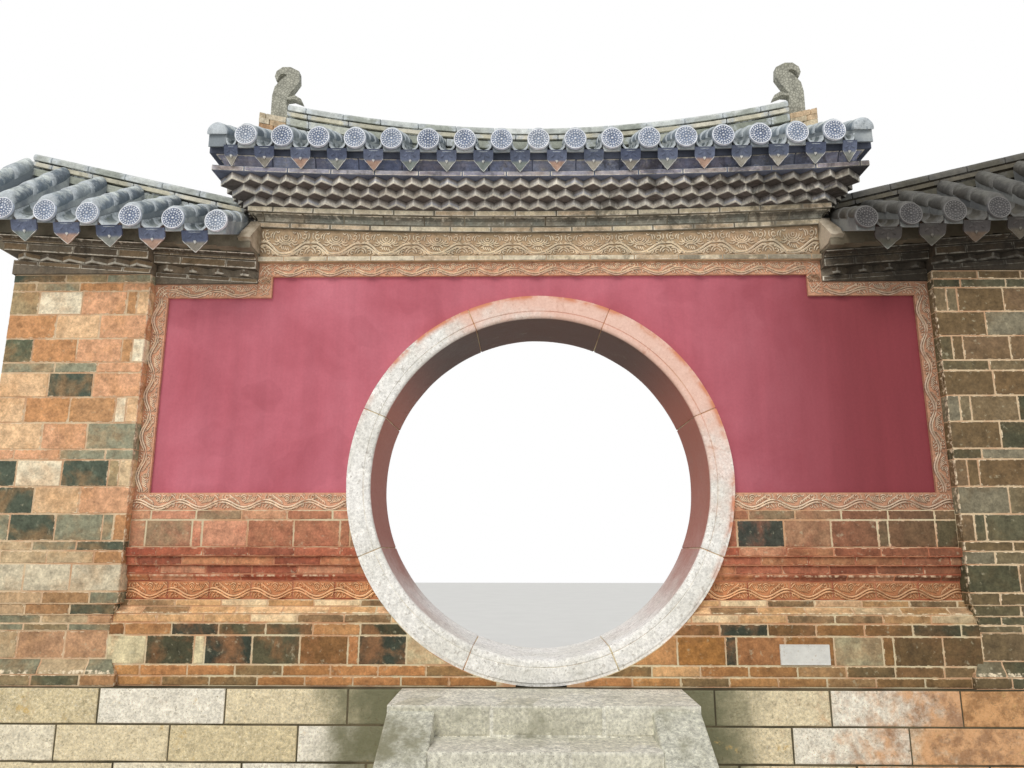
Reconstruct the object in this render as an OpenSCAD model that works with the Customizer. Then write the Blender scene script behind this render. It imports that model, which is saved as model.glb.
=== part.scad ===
// Moon gate: a round stone-ringed opening in a plastered brick screen wall with two brick piers,
// a carved border, a corbelled dogtooth cornice and a tiled roof that curves up towards its ends.
// Millimetres. The origin is on the ground under the centre of the opening, +Z up, front towards -Y.
// The front and the back are alike, and so are the left and the right.

/* [Moon opening] */
// Radius of the clear round opening
opening_r = 1050; // [950:10:1100]
// Radial width of the ring stones
ring_w = 150; // [130:5:180]
// Depth of the ring stones through the wall
ring_depth = 600; // [570:5:640]
// Radius of the roll on the inner edge of the ring
ring_roll = 20; // [8:1:30]
// Depth of the groove cut round the face of the ring
ring_groove = 6; // [3:1:10]

/* [Granite base and steps] */
// Height of the granite base
base_h = 600; // [450:10:750]
// How far the granite base stands out beyond the plinth
base_ledge = 50; // [20:5:80]
// Number of steps below the landing on each side
step_count = 3; // [2:1:4]
// Depth of one tread
tread = 300; // [260:10:360]
// Depth of the landing in front of the granite base
landing_depth = 500; // [400:10:700]
// Clear width between the cheek slabs
steps_clear_w = 1116; // [900:4:1400]
// Width of one cheek slab
cheek_w = 248; // [180:4:300]
// How far the cheek slabs start below the landing
cheek_drop = 25; // [10:1:60]

/* [Plinth, waist and dado] */
// Half thickness of the plinth at its lower courses
plinth_half = 300; // [290:2:310]
// Height of the lower plinth courses
plinth_h = 356; // [310:2:400]
// Height of the plinth's top course, which steps back
plinth_step_h = 52; // [40:1:65]
// Height of the hollow moulding over the plinth
plinth_cyma_h = 40; // [30:1:55]
// Height of the plain fillet under the waist
waist_foot_h = 41; // [25:1:50]
// Height of the carved waist band
waist_h = 110; // [90:1:130]
// Height of the moulding over the waist band
waist_cyma_h = 40; // [30:1:50]
// Height of each of the three projecting courses over the waist
waist_cap_h = 53.6; // [45:0.2:60]
// Height of the dado courses below the panel
dado_h = 226; // [200:1:250]
// Half thickness of the carved waist band
waist_half = 225; // [215:1:235]
// Half thickness of the dado
dado_half = 260; // [252:1:270]

/* [Plastered panel and its border] */
// Half thickness of the brick wall behind the plaster
wall_half = 210; // [200:1:215]
// Thickness of the plaster
plaster_t = 20; // [12:1:28]
// Thickness of the carved border
border_t = 40; // [34:1:50]
// Width of the carved border at the sides and the top
border_w = 93; // [70:1:110]
// Width of the carved border under the panel
border_low_w = 107; // [90:1:120]
// Distance from the ring to the side of the panel
panel_side = 1247; // [1150:5:1400]
// Height of the panel's shoulders over the ring
shoulder_over_ring = 11; // [5:1:60]
// Height of the panel's centre above its shoulders
head_rise = 146; // [120:1:200]
// Length of each lower shoulder of the panel
shoulder_len = 685; // [600:5:760]

/* [Piers] */
// Width of each brick pier
pier_w = 900; // [800:10:1100]
// Half thickness of the pier shaft
pier_half = 320; // [310:1:330]
// How far the lowest course of a pier stands out
pier_foot_out = 15; // [5:1:20]
// How far the waist of a pier's base is set in
pier_waist_in = 20; // [12:1:28]
// Height of the lowest course of a pier
pier_foot_h = 66; // [50:1:90]
// Height of the moulding over the lowest course
pier_cyma_h = 85; // [60:1:100]
// Height of the waist of a pier's base
pier_waist_h = 159; // [140:1:180]
// Height of the moulding and the dark course over the waist
pier_step_h = 92; // [70:1:110]
// Height of the course under the shaft
pier_cap_h = 64; // [50:1:80]

/* [Frieze and cornice] */
// Height of the ledge under the carved frieze
ledge_h = 38; // [25:1:50]
// Height of the carved frieze at its middle
frieze_h = 160; // [130:1:190]
// Height of the lower fillet of the cornice
fillet_low_h = 39; // [25:1:50]
// Height of the hollow band of the cornice
hollow_h = 48; // [35:1:70]
// Height of the upper fillet of the cornice
fillet_top_h = 42; // [30:1:50]
// Height of one dogtooth course
tooth_h = 50; // [42:1:60]
// Spacing of the dogteeth
tooth_pitch = 116; // [100:2:140]
// How far each dogtooth course stands out beyond the one below
tooth_step = 58; // [48:1:62]
// Height of the slab course over the dogteeth
drip_course_h = 38; // [28:1:48]
// Height of the eave moulding
eave_h = 87; // [70:1:105]

/* [Centre roof] */
// Number of rows of round tiles with end discs, odd
centre_rows = 17; // [13:2:19]
// Rise of the roof bed from the tile ends to the ridge at mid length
roof_rise = 275; // [220:5:330]
// How much higher the eave is at the ends than at the middle
eave_lift = 62; // [20:2:90]
// How much higher the ridge is at the ends than at the middle
ridge_lift = 309; // [200:3:360]
// Height of the ridge above its seat
ridge_h = 245; // [210:5:280]
// Height of the ridge-end ornaments
finial_h = 430; // [380:10:460]

/* [Side roofs] */
// Number of rows of round tiles with end discs on each side roof
side_rows = 6; // [5:1:7]
// Slope of the side eaves along the wall
side_eave_slope = 0.07; // [0:0.01:0.1]
// Slope of the side ridges along the wall
side_ridge_slope = 0.27; // [0.2:0.01:0.3]
// Rise of the side roof bed from the tile ends to the ridge at its inner end
side_rise = 232; // [200:2:260]

/* [Roof tiles] */
// Radius of the end disc of a round tile
disc_r = 71; // [66:1:76]
// Radius of a round tile
tile_r = 64; // [56:1:65]
// Height of the bedding that carries a round tile
tile_stem = 90; // [75:1:100]
// Thickness of the clay of the tiles
clay_t = 14; // [10:1:18]
// Length of the pendant of a drip tile
pendant_h = 112; // [90:2:130]

/* [Hidden] */
// Clearance between pieces that seat on each other
seat = 0.3;
// Segments of a long curved course, and of a small moulding
course_steps = 16;
curve_steps = 5;

// Heights, from the ground up
ring_r = opening_r + ring_w;
ring_z = base_h + seat + ring_r;
plinth_top = base_h + plinth_h + plinth_step_h + plinth_cyma_h + waist_foot_h;
waist_top = plinth_top + waist_h + waist_cyma_h + 3 * waist_cap_h;
dado_top = waist_top + dado_h;
panel_low = dado_top + border_low_w;
panel_shoulder = ring_z + ring_r + shoulder_over_ring;
panel_top = panel_shoulder + head_rise;
shoulder_top = panel_shoulder + border_w;
head_top = panel_top + border_w;
frieze_low = head_top + ledge_h;
frieze_top = frieze_low + frieze_h;
cap_top = frieze_top + fillet_low_h + hollow_h + fillet_top_h;
teeth_top = cap_top + 3 * tooth_h;
drip_course_top = teeth_top + drip_course_h;
eave_top = drip_course_top + eave_h;

// Lengths along the wall
panel_half = ring_r + panel_side;
pier_in = panel_half + border_w;
pier_out = pier_in + pier_w;
head_half = panel_half - shoulder_len;
block_half = head_half + border_w;

// Granite base and steps
base_face = pier_half + base_ledge - 10;
riser = base_h / (step_count + 1);
landing_edge = base_face + landing_depth;
cheek_out = steps_clear_w / 2 + cheek_w;
cheek_toe = 70;

// Pier section, as half thickness against height. Its inner and outer ends are moulded the same way,
// and the inner end more strongly.
pier_foot_half = pier_half + pier_foot_out;
pier_narrow = pier_half - pier_waist_in;
pier_foot_top = base_h + pier_foot_h;
pier_cyma_top = pier_foot_top + pier_cyma_h;
pier_waist_top = pier_cyma_top + pier_waist_h;
pier_step_top = pier_waist_top + pier_step_h;
pier_cap_top = pier_step_top + pier_cap_h;
inner_return = 2.4;

// The infill under the ring ends where it would be a feather edge
feather = 150;
// Half width of the wall piece that spans over the ring
head_piece_half = 600;

// Cornice over the centre block
frieze_half = dado_half;
ledge_out = 20;
fillet_low_out = 20;
fillet_top_out = 75;
tooth_depth = tooth_pitch / 2;
tooth_base = 72;
drip_course_out = tooth_base + 2 * tooth_step + tooth_depth + 14;
eave_foot_out = 200;
eave_out = 245;

// Roof over the centre block: the bed's edge, the plane of the tile ends and the seat of the ridge
bed_edge = frieze_half + eave_out + 5;
disc_y = 590;
disc_t = 20;
ridge_half = 90;
verge_out = 225;
verge_x = block_half + verge_out;
bed_half = verge_x + tile_r;
slab_half = tile_r + seat;
ridge_in = 80;
ridge_end = verge_x - ridge_in;
pedestal_len = 200;
ridge_stop = ridge_end - pedestal_len;
pedestal_share = 0.51;
finial_drawn_h = 430;
finial_foot = 67;
finial_x = ridge_stop + finial_foot * finial_h / finial_drawn_h + 2 * seat;
finial_t = 60;
verge_gap = 197;
centre_side_rows = (centre_rows - 1) / 2;
centre_pitch = (verge_x - verge_gap) / centre_side_rows;
bed_under = eave_top + seat;
tile_plane = bed_under + 7;
pan_end = 575;
lean = 20;

// Side cornices and side roofs
side_fillet_h = 34;
side_tooth_h = 48;
side_band_h = 57;
side_line_h = 13;
side_cyma_h = 24;
side_cornice_h = side_fillet_h + side_tooth_h + side_band_h + side_line_h + side_cyma_h;
side_tooth_pitch = 155;
side_tooth_depth = 50;
side_fillet_out = 15;
side_band_out = 62;
side_line_out = 75;
side_out = 110;
side_bed_edge = pier_half + side_out + 5;
side_disc_y = 630;
side_pan_end = 615;
side_first_in = 155;
side_first = block_half + side_first_in;
side_cut_y = 258;
side_verge = pier_out + 200;
side_pitch = (side_verge - side_first) / side_rows;
side_end = side_verge + tile_r;
side_plane = shoulder_top + side_cornice_h + seat + 5;
side_apron_x = block_half + 4;
apron_drop = 12;
side_ridge_in = 40;
side_ridge_short = 100;
side_ridge_lean = 0.83;
pier_top = shoulder_top + side_eave_slope * (pier_in - block_half);

// Curves of the roof lines
function centre_lift(lift, x) = lift * pow(x / bed_half, 2);
function side_run(x) = x - block_half;
function plane_z(side, x) = side
    ? side_plane + side_eave_slope * side_run(x)
    : tile_plane + centre_lift(eave_lift, x);
function peak_z(side, x) = side
    ? side_plane + side_rise + side_ridge_slope * side_run(x)
    : tile_plane + roof_rise + centre_lift(ridge_lift, x);
function end_y(side) = side ? side_disc_y : disc_y;
// Height of the top of the roof bed at the distance y from the ridge line
function bed_z(side, x, y) = peak_z(side, x) - (peak_z(side, x) - plane_z(side, x)) * y / end_y(side);
function bed_angle(side, x) = atan((peak_z(side, x) - plane_z(side, x)) / end_y(side));

// Points of an arc, and an S-shaped or hollow transition between two half thicknesses
function arc(cx, cy, r, a0, a1, n = curve_steps) =
    [for (i = [0:n]) [cx + r * cos(a0 + (a1 - a0) * i / n), cy + r * sin(a0 + (a1 - a0) * i / n)]];
function ogee(out0, z0, out1, z1) =
    [for (i = [0:curve_steps])
        let(t = i / curve_steps)
        [out0 + (out1 - out0) * (t - sin(360 * t) / 360 * 57.3), z0 + (z1 - z0) * t]];
function hollow(out0, z0, out1, z1) =
    [for (i = [0:curve_steps])
        let(t = i / curve_steps)
        [out0 + (out1 - out0) * (1 - cos(90 * t)), z0 + (z1 - z0) * sin(90 * t)]];

// Both faces of a wall section from the half thicknesses of its front
function both_faces(points) = concat(
    [for (p = points) [p[0], p[1]]],
    [for (i = [len(points) - 1:-1:0]) [-points[i][0], points[i][1]]]);

// A wall section given as half thickness against height, run along X from x0 to x1
module run_along(points, x0, x1) {
    translate([x0, 0, 0])
        rotate([90, 0, 90])
            linear_extrude(x1 - x0)
                polygon(both_faces(points));
}

// An outline of length against height, carried right through the wall
module across_wall(points) {
    rotate([90, 0, 0])
        linear_extrude(4 * plinth_half, center = true)
            polygon(points);
}

// The round hole that takes the ring, right through the wall
module ring_hole() {
    translate([0, 0, ring_z])
        rotate([90, 0, 0])
            cylinder(h = 4 * ring_depth, r = ring_r + seat, center = true, $fn = 180);
}

module box(x0, y0, z0, x1, y1, z1) {
    translate([x0, y0, z0]) cube([x1 - x0, y1 - y0, z1 - z0]);
}

module at_side(left) {
    mirror([left ? 1 : 0, 0, 0]) children();
}

module at_face(back) {
    mirror([0, back ? 1 : 0, 0]) children();
}

// Granite base with its steps on both faces
module foundation() {
    out = pier_foot_out + base_ledge;
    color("#cfc6a8")
        box(-pier_out - out, -base_face, 0, pier_out + out, base_face, base_h);
}

module steps(back) {
    color("#bdb8a0")
        at_face(back) {
            box(-cheek_out, -landing_edge, 0, cheek_out, -base_face - seat, base_h);
            for (i = [1:step_count])
                box(-steps_clear_w / 2 + 1, -landing_edge - i * tread, 0,
                    steps_clear_w / 2 - 1, -landing_edge - (i - 1) * tread - seat, base_h - i * riser);
        }
}

module cheeks(back) {
    run = (base_h - cheek_drop - cheek_toe) * tread / riser;
    color("#c4c4bc")
        at_face(back)
            for (side = [-1, 1])
                translate([side * (steps_clear_w + cheek_w) / 2 - cheek_w / 2, 0, 0])
                    rotate([90, 0, 90])
                        linear_extrude(cheek_w)
                            polygon([
                                [-landing_edge - seat, 0], [-landing_edge - seat, base_h - cheek_drop],
                                [-landing_edge - seat - run, cheek_toe], [-landing_edge - seat - run, 0]]);
}

// Moulded brick masses on each side of the ring
module plinth(left) {
    z1 = base_h + plinth_h;
    z2 = z1 + plinth_step_h;
    z3 = z2 + plinth_cyma_h;
    step_back = 15;
    fillet_half = waist_half + 20;
    color("#b07a4e")
        at_side(left)
            difference() {
                intersection() {
                    run_along(concat(
                        [[plinth_half, base_h], [plinth_half, z1], [plinth_half - step_back, z1]],
                        ogee(plinth_half - step_back, z2, fillet_half, z3),
                        [[fillet_half, plinth_top]]), feather, pier_in + plinth_half);
                    across_wall(concat(
                        [[feather, plinth_top], [feather, base_h],
                            [pier_inner(pier_section()[0]) - 2 * seat, base_h]],
                        [for (p = pier_section()) if (p[1] < plinth_top) [pier_inner(p) - 2 * seat, p[1]]],
                        [[pier_in - seat, plinth_top]]));
                }
                ring_hole();
            }
}

module waist(left) {
    z1 = plinth_top + waist_h;
    z2 = z1 + waist_cyma_h;
    z3 = z2 + waist_cap_h;
    z4 = z3 + waist_cap_h;
    out1 = dado_half - 12;
    out2 = dado_half + 8;
    out3 = dado_half + 28;
    color("#b5653f")
        at_side(left)
            difference() {
                run_along(concat(
                    [[waist_half, plinth_top], [waist_half, z1]],
                    ogee(waist_half, z1, out1, z2),
                    [[out1, z3], [out2, z3], [out2, z4], [out3, z4], [out3, waist_top]]), feather, pier_in);
                ring_hole();
            }
}

module dado(left) {
    color("#a8583c")
        at_side(left)
            difference() {
                run_along([[dado_half, waist_top], [dado_half, dado_top]], feather, pier_in);
                ring_hole();
            }
}

module wall(left) {
    color("#a66a4a")
        at_side(left)
            difference() {
                run_along([[wall_half, dado_top], [wall_half, shoulder_top]], head_piece_half, pier_in);
                ring_hole();
            }
}

module wall_head() {
    color("#a66a4a")
        difference() {
            union() {
                run_along([[wall_half, ring_z + opening_r / 2], [wall_half, shoulder_top]],
                    -head_piece_half, head_piece_half);
                run_along([[wall_half, shoulder_top], [wall_half, head_top]], -block_half, block_half);
            }
            ring_hole();
        }
}

// Red plaster in a T-shaped field round the ring
module plaster(back) {
    color("#a83248")
        at_face(back)
            difference() {
                translate([0, -wall_half, 0])
                    rotate([90, 0, 0])
                        linear_extrude(plaster_t)
                            polygon([
                                [-panel_half, panel_low], [panel_half, panel_low],
                                [panel_half, panel_shoulder], [head_half, panel_shoulder],
                                [head_half, panel_top], [-head_half, panel_top],
                                [-head_half, panel_shoulder], [-panel_half, panel_shoulder]]);
                ring_hole();
            }
}

// Carved border tiles round the plaster, in straight lengths with fine joints
module border(back) {
    gap = 2 * seat;
    inner_foot = sqrt(pow(ring_r, 2) - pow(ring_z - panel_low, 2));
    color("#c9a878")
        at_face(back) {
            for (side = [false, true])
                at_side(side) {
                    difference() {
                        border_strip(head_piece_half, dado_top, pier_in, panel_low - gap);
                        ring_hole();
                    }
                    border_strip(panel_half + seat, panel_low, pier_in, panel_shoulder - gap);
                    border_strip(block_half + gap, panel_shoulder + seat, pier_in, shoulder_top);
                    border_strip(head_half + seat, panel_shoulder, block_half, panel_top - gap);
                }
            border_strip(-block_half, panel_top + seat, block_half, head_top);
        }
}

module border_strip(x0, z0, x1, z1) {
    box(x0, -wall_half - border_t, z0, x1, -wall_half - seat, z1);
}

// Through-stones of the ring, each an eighth of the circle with a rolled and grooved face
module ring_stone(index) {
    half = ring_depth / 2;
    groove_r = opening_r + ring_w * 0.27;
    groove_w = 8;
    lip = 20;
    face = concat(
        arc(opening_r + ring_roll, half - ring_roll, ring_roll, 180, 90),
        [[groove_r, half], [groove_r + groove_w / 2, half - ring_groove], [groove_r + groove_w, half],
            [ring_r - lip, half], [ring_r - lip, half - 6], [ring_r, half - 6]]);
    color("#d8d2c4")
        translate([0, 0, ring_z])
            rotate([90, 0, 0])
                rotate([0, 0, 45 * index - 22.5])
                    rotate_extrude(angle = 45 - 0.02, $fn = 180)
                        polygon(concat(face, [for (i = [len(face) - 1:-1:0]) [face[i][0], -face[i][1]]]));
}

// Brick pier
function pier_section() = concat(
    [[pier_foot_half, base_h + seat], [pier_foot_half, pier_foot_top]],
    ogee(pier_foot_half, pier_foot_top, pier_narrow, pier_cyma_top),
    [[pier_narrow, pier_waist_top], [pier_narrow + 4, pier_waist_top], [pier_narrow + 4, pier_step_top],
        [pier_half - 9, pier_step_top], [pier_half - 9, pier_cap_top], [pier_half, pier_cap_top],
        [pier_half, pier_top]]);
function pier_inner(p) = pier_in + seat + inner_return * (pier_half - p[0]);

module pier(left) {
    section = pier_section();
    across = pier_out - pier_half;
    color("#b98552")
        at_side(left)
            intersection() {
                run_along(section, pier_in - pier_foot_half, pier_out + pier_foot_half);
                across_wall(concat(
                    [for (p = section) [p[0] + across, p[1]]],
                    [for (i = [len(section) - 1:-1:0]) [pier_inner(section[i]), section[i][1]]]));
            }
}

// A moulded block as a stack of plan outlines. Each level is [height, how far it stands out,
// 1 where it follows the curve of the roof or 0 where it is level, how far it stands out at the ends
// where that differs].
function level_end(l) = is_undef(l[3]) ? l[1] : l[3];
module centre_block(levels) {
    n = course_steps;
    ring_n = 2 * (n + 1);
    points = [for (l = levels) each concat(
        [for (i = [0:n]) let(x = (block_half + level_end(l)) * (2 * i / n - 1))
            [x, -frieze_half - l[1], l[0] + l[2] * centre_lift(eave_lift, x)]],
        [for (i = [n:-1:0]) let(x = (block_half + level_end(l)) * (2 * i / n - 1))
            [x, frieze_half + l[1], l[0] + l[2] * centre_lift(eave_lift, x)]])];
    last = (len(levels) - 1) * ring_n;
    sides = [for (k = [0:len(levels) - 2], i = [0:ring_n - 1])
        let(j = (i + 1) % ring_n, a = k * ring_n)
        [a + i, a + ring_n + i, a + ring_n + j, a + j]];
    floor_faces = [for (i = [0:n - 1]) [i, i + 1, ring_n - 2 - i, ring_n - 1 - i]];
    top_faces = [for (i = [0:n - 1]) [last + i, last + ring_n - 1 - i, last + ring_n - 2 - i, last + i + 1]];
    polyhedron(points = points, faces = concat(sides, floor_faces, top_faces));
}

// The ledge is nearly flush at the ends, where the side cornices meet it
module frieze() {
    color("#c2a378")
        centre_block([
            [head_top + seat, ledge_out, 0, 2 * seat], [frieze_low, ledge_out, 0, 2 * seat],
            [frieze_low, 0, 0], [frieze_top, 0, 1]]);
}

module cornice_cap() {
    z0 = frieze_top + seat;
    z1 = frieze_top + fillet_low_h;
    z2 = z1 + hollow_h;
    color("#8f8a72")
        centre_block(concat(
            [[z0, fillet_low_out, 1], [z1, fillet_low_out, 1]],
            [for (p = hollow(fillet_low_out, z1, fillet_top_out - 10, z2)) [p[1], p[0], 1]],
            [[z2, fillet_top_out, 1], [cap_top, fillet_top_out, 1]]));
}

// A row of n teeth that stand out to the right of the line from a to b
function teeth(a, b, n, depth) =
    let(step = (b - a) / (2 * n), out = [step[1], -step[0]] / norm(step) * depth)
    [for (i = [0:2 * n - 1]) a + i * step + (i % 2) * out];

// The space between two heights that follow the curve of the centre roof
module centre_band(z0, z1) {
    half = bed_half;
    n = course_steps;
    xs = [for (i = [0:n]) half * (2 * i / n - 1)];
    rotate([90, 0, 0])
        translate([0, 0, -bed_half])
            linear_extrude(2 * bed_half)
                polygon(concat(
                    [for (x = xs) [x, z0 + centre_lift(eave_lift, x)]],
                    [for (i = [n:-1:0]) [xs[i], z1 + centre_lift(eave_lift, xs[i])]]));
}

// One course of bricks laid cornerwise, wrapped round the block
module dogtooth(row) {
    out = tooth_base + row * tooth_step;
    x = block_half + out;
    y = frieze_half + out;
    n = round(2 * (block_half + tooth_base) / tooth_pitch) + row;
    m = round(2 * (frieze_half + tooth_base) / tooth_pitch) + row;
    z0 = cap_top + row * tooth_h + seat;
    color(row % 2 == 0 ? "#8d7f66" : "#857a64")
        intersection() {
            translate([0, 0, cap_top])
                linear_extrude(3 * tooth_h + 2 * eave_lift)
                    polygon(concat(
                        teeth([-x, -y], [x, -y], n, tooth_depth), teeth([x, -y], [x, y], m, tooth_depth),
                        teeth([x, y], [-x, y], n, tooth_depth), teeth([-x, y], [-x, -y], m, tooth_depth)));
            centre_band(z0, z0 + tooth_h - seat);
        }
}

module eave_moulding() {
    color("#6f6f63")
        centre_block(concat(
            [[teeth_top + seat, drip_course_out, 1], [drip_course_top, drip_course_out, 1],
                [drip_course_top, eave_foot_out, 1]],
            [for (p = hollow(eave_foot_out, drip_course_top, eave_out, eave_top)) [p[1], p[0], 1]]));
}

// Roof bed: a row of slabs, one under each round tile and each channel, at its own height.
// The joints are set out to a tenth of a millimetre, so that neighbours meet exactly.
function tenth(x) = round(x * 10) / 10;

module bed_slab(side, x0, x1, under, edge, drop = 0) {
    x = (x0 + x1) / 2;
    run_along([
        [edge, under], [edge, bed_z(side, x, edge) - drop], [ridge_half, bed_z(side, x, ridge_half) - drop]],
        tenth(x0), tenth(x1));
}

function slab_under(side, x) = side
    ? side_plane - 5 + side_eave_slope * (side_run(x))
    : bed_under + centre_lift(eave_lift, x);

module roof_bed() {
    last = centre_side_rows * centre_pitch;
    color("#77756a")
        union() {
            for (i = [-centre_side_rows:centre_side_rows])
                bed_slab(0, i * centre_pitch - slab_half, i * centre_pitch + slab_half,
                    slab_under(0, abs(i) * centre_pitch + slab_half), bed_edge);
            for (i = [-centre_side_rows:centre_side_rows - 1])
                bed_slab(0, i * centre_pitch + slab_half, (i + 1) * centre_pitch - slab_half,
                    slab_under(0, (abs(i + 0.5) + 0.5) * centre_pitch - slab_half), bed_edge);
            for (left = [false, true])
                at_side(left) {
                    bed_slab(0, last + slab_half, verge_x - slab_half,
                        slab_under(0, verge_x - slab_half), bed_edge);
                    bed_slab(0, verge_x - slab_half, bed_half, slab_under(0, bed_half), bed_edge);
                }
        }
}

// Lays a section that is drawn across X with its foot on the bed along the slope at x,
// between two distances from the ridge line
module on_slope(side, x, y_low, y_high) {
    a = bed_angle(side, x);
    spare = 300;
    intersection() {
        translate([x, -y_low, bed_z(side, x, y_low)])
            rotate([a, 0, 0])
                translate([0, -spare, 0])
                    rotate([90, 0, 180])
                        linear_extrude((y_low - y_high) / cos(a) + 2 * spare)
                            children();
        box(x - 2 * disc_r, -y_low, 0, x + 2 * disc_r, -y_high, 3 * ring_z);
    }
}

module cover_section() {
    translate([-tile_r, 0]) square([2 * tile_r, tile_stem]);
    translate([0, tile_stem]) circle(r = tile_r, $fn = 48);
}

// Round tile row with its end disc
module cover(side, x, y_high, disc = true) {
    y_end = end_y(side);
    on_slope(side, x, disc ? y_end : y_end - 15, y_high) cover_section();
    if (disc)
        translate([x, -y_end + disc_t / 2, plane_z(side, x) + tile_stem])
            rotate([90, 0, 0])
                cylinder(h = disc_t, r = disc_r, $fn = 48);
}

// The channel is scooped out by one arc between two thin lips
module pan_section(w) {
    rim = 60;
    lip = 8;
    half_chord = w / 2 - lip;
    depth = min(rim - clay_t, half_chord);
    r = (pow(half_chord, 2) + pow(depth, 2)) / (2 * depth);
    difference() {
        translate([-w / 2, 0]) square([w, rim]);
        translate([0, rim - depth + r]) circle(r = r, $fn = 64);
    }
}

// Channel tile row with the pendant of its drip tile, which stands a little before the channel
module pan(side, x, w, y_low, y_high) {
    on_slope(side, x, y_low, y_high) pan_section(w);
    half = w / 2 - 1;
    translate([x, -y_low, bed_z(side, x, y_low)])
        rotate([90 + lean, 0, 0])
            translate([0, 0, 4 - clay_t])
                linear_extrude(clay_t)
                    polygon([
                        [-half, 8], [-half, -0.22 * pendant_h], [-0.72 * half, -0.46 * pendant_h],
                        [-0.36 * half, -0.66 * pendant_h], [0, -pendant_h], [0.36 * half, -0.66 * pendant_h],
                        [0.72 * half, -0.46 * pendant_h], [half, -0.22 * pendant_h], [half, 8]]);
}

module cover_tiles() {
    color("#7f8f98")
        for (back = [false, true])
            at_face(back) {
                for (i = [-centre_side_rows:centre_side_rows])
                    cover(0, i * centre_pitch, ridge_half + seat);
                for (side = [-1, 1])
                    cover(0, side * verge_x, ridge_half + seat, false);
            }
}

module pan_tiles() {
    last = centre_side_rows * centre_pitch;
    w = centre_pitch - 2 * slab_half - 2 * seat;
    verge_w = verge_x - last - 2 * slab_half - 2 * seat;
    color("#6d7a80")
        for (back = [false, true])
            at_face(back) {
                for (i = [-centre_side_rows:centre_side_rows - 1])
                    pan(0, (i + 0.5) * centre_pitch, w, pan_end, ridge_half + seat);
                for (side = [-1, 1])
                    pan(0, side * (last + verge_x) / 2, verge_w, pan_end, ridge_half + seat);
            }
}

// Section of a ridge, as half thickness against height above its seat: two grooves and a rounded top,
// with the levels as shares of its height
function ridge_section(h) = let(
    body = ridge_half - seat, groove = 0.75 * ridge_half, band = 0.96 * ridge_half,
    cap = 0.89 * ridge_half, cap_z = 0.84 * h)
    concat(
        [[body, 0], [body, pedestal_share * h],
            [groove, pedestal_share * h], [groove, 0.58 * h], [band, 0.58 * h],
            [band, 0.7 * h], [groove, 0.7 * h], [groove, 0.77 * h], [cap, 0.77 * h], [cap, cap_z]],
        [for (i = [1:4]) [cap * cos(18 * i), cap_z + (h - cap_z) * sin(18 * i) / sin(72)]]);

// A ridge run through stations: each has its X for every point of the section and its seat height
module ridge_run(section, stations) {
    outline = both_faces(section);
    m = len(outline);
    points = [for (s = stations, p = outline) [s[0] + s[2] * p[1], p[0], s[1] + p[1]]];
    last = (len(stations) - 1) * m;
    sides = [for (k = [0:len(stations) - 2], i = [0:m - 1])
        let(j = (i + 1) % m, a = k * m)
        [a + i, a + j, a + m + j, a + m + i]];
    polyhedron(points = points, faces = concat(
        sides, [[for (i = [m - 1:-1:0]) i]], [[for (i = [0:m - 1]) last + i]]));
}

// Smooth seat of the ridge, just clear of the stepped slabs
function ridge_seat_z(side, x) = bed_z(side, x, ridge_half) + seat
    + (bed_z(side, abs(x) + centre_pitch / 2, ridge_half) - bed_z(side, abs(x), ridge_half)) * 0.6;

// The ridge keeps its full height up to the ornaments, which stand on its body
module ridge() {
    n = course_steps;
    body = ridge_half - seat;
    color("#8d9a8f") {
        ridge_run(ridge_section(ridge_h), [for (i = [0:n])
            let(x = ridge_stop * (2 * i / n - 1))
            [x, ridge_seat_z(0, x), 0]]);
        for (side = [-1, 1])
            ridge_run([[body, 0], [body, pedestal_share * ridge_h]],
                [for (x = side < 0 ? [-ridge_end, -ridge_stop - seat] : [ridge_stop + seat, ridge_end])
                    [x, ridge_seat_z(0, x), 0]]);
    }
}

// One bank of a winding body, whose stations are [x, z, half width]
function bank(path, side) = let(n = len(path) - 1)
    [for (i = [0:n])
        let(a = path[max(i - 1, 0)], b = path[min(i + 1, n)], d = [b[0] - a[0], b[1] - a[1]])
        [path[i][0], path[i][1]] + side * path[i][2] * [-d[1], d[0]] / norm(d)];

// Ridge-end ornament: a fish-dragon that bites the ridge and throws up a curled tail
module finial(left) {
    s = finial_h / finial_drawn_h;
    slope = (ridge_seat_z(0, ridge_end) - ridge_seat_z(0, ridge_stop)) / pedestal_len;
    foot_z = ridge_seat_z(0, ridge_stop) + slope * (finial_x - ridge_stop)
        + pedestal_share * ridge_h + 2 * seat;
    body = [[2, 0, 66], [14, 131, 54], [11, 188, 57], [-4, 240, 64], [-40, 286, 62], [-72, 330, 58],
        [-74, 372, 50], [-42, 398, 32], [-2, 402, 27], [32, 382, 20], [44, 350, 14], [40, 318, 5]];
    foot = [[-finial_foot, -slope * finial_foot], [finial_foot, slope * finial_foot]];
    jaw = [[-100, 196], [-146, 166], [-158, 138], [-130, 150], [-90, 166], [-42, 160]];
    n = len(body) - 1;
    inner = bank(body, 1);
    outer = bank(body, -1);
    color("#8c9794")
        at_side(left)
            translate([finial_x, finial_t / 2, foot_z])
                rotate([90, 0, 0])
                    linear_extrude(finial_t)
                        polygon(s * concat(
                            foot, [for (i = [1:n]) outer[i]], [for (i = [n:-1:2]) inner[i]], jaw, [inner[1]]));
}

// Cornice of a side roof: over the shoulder of the panel, and pushed out over the pier
function side_lift(x) = side_eave_slope * side_run(x);

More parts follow.
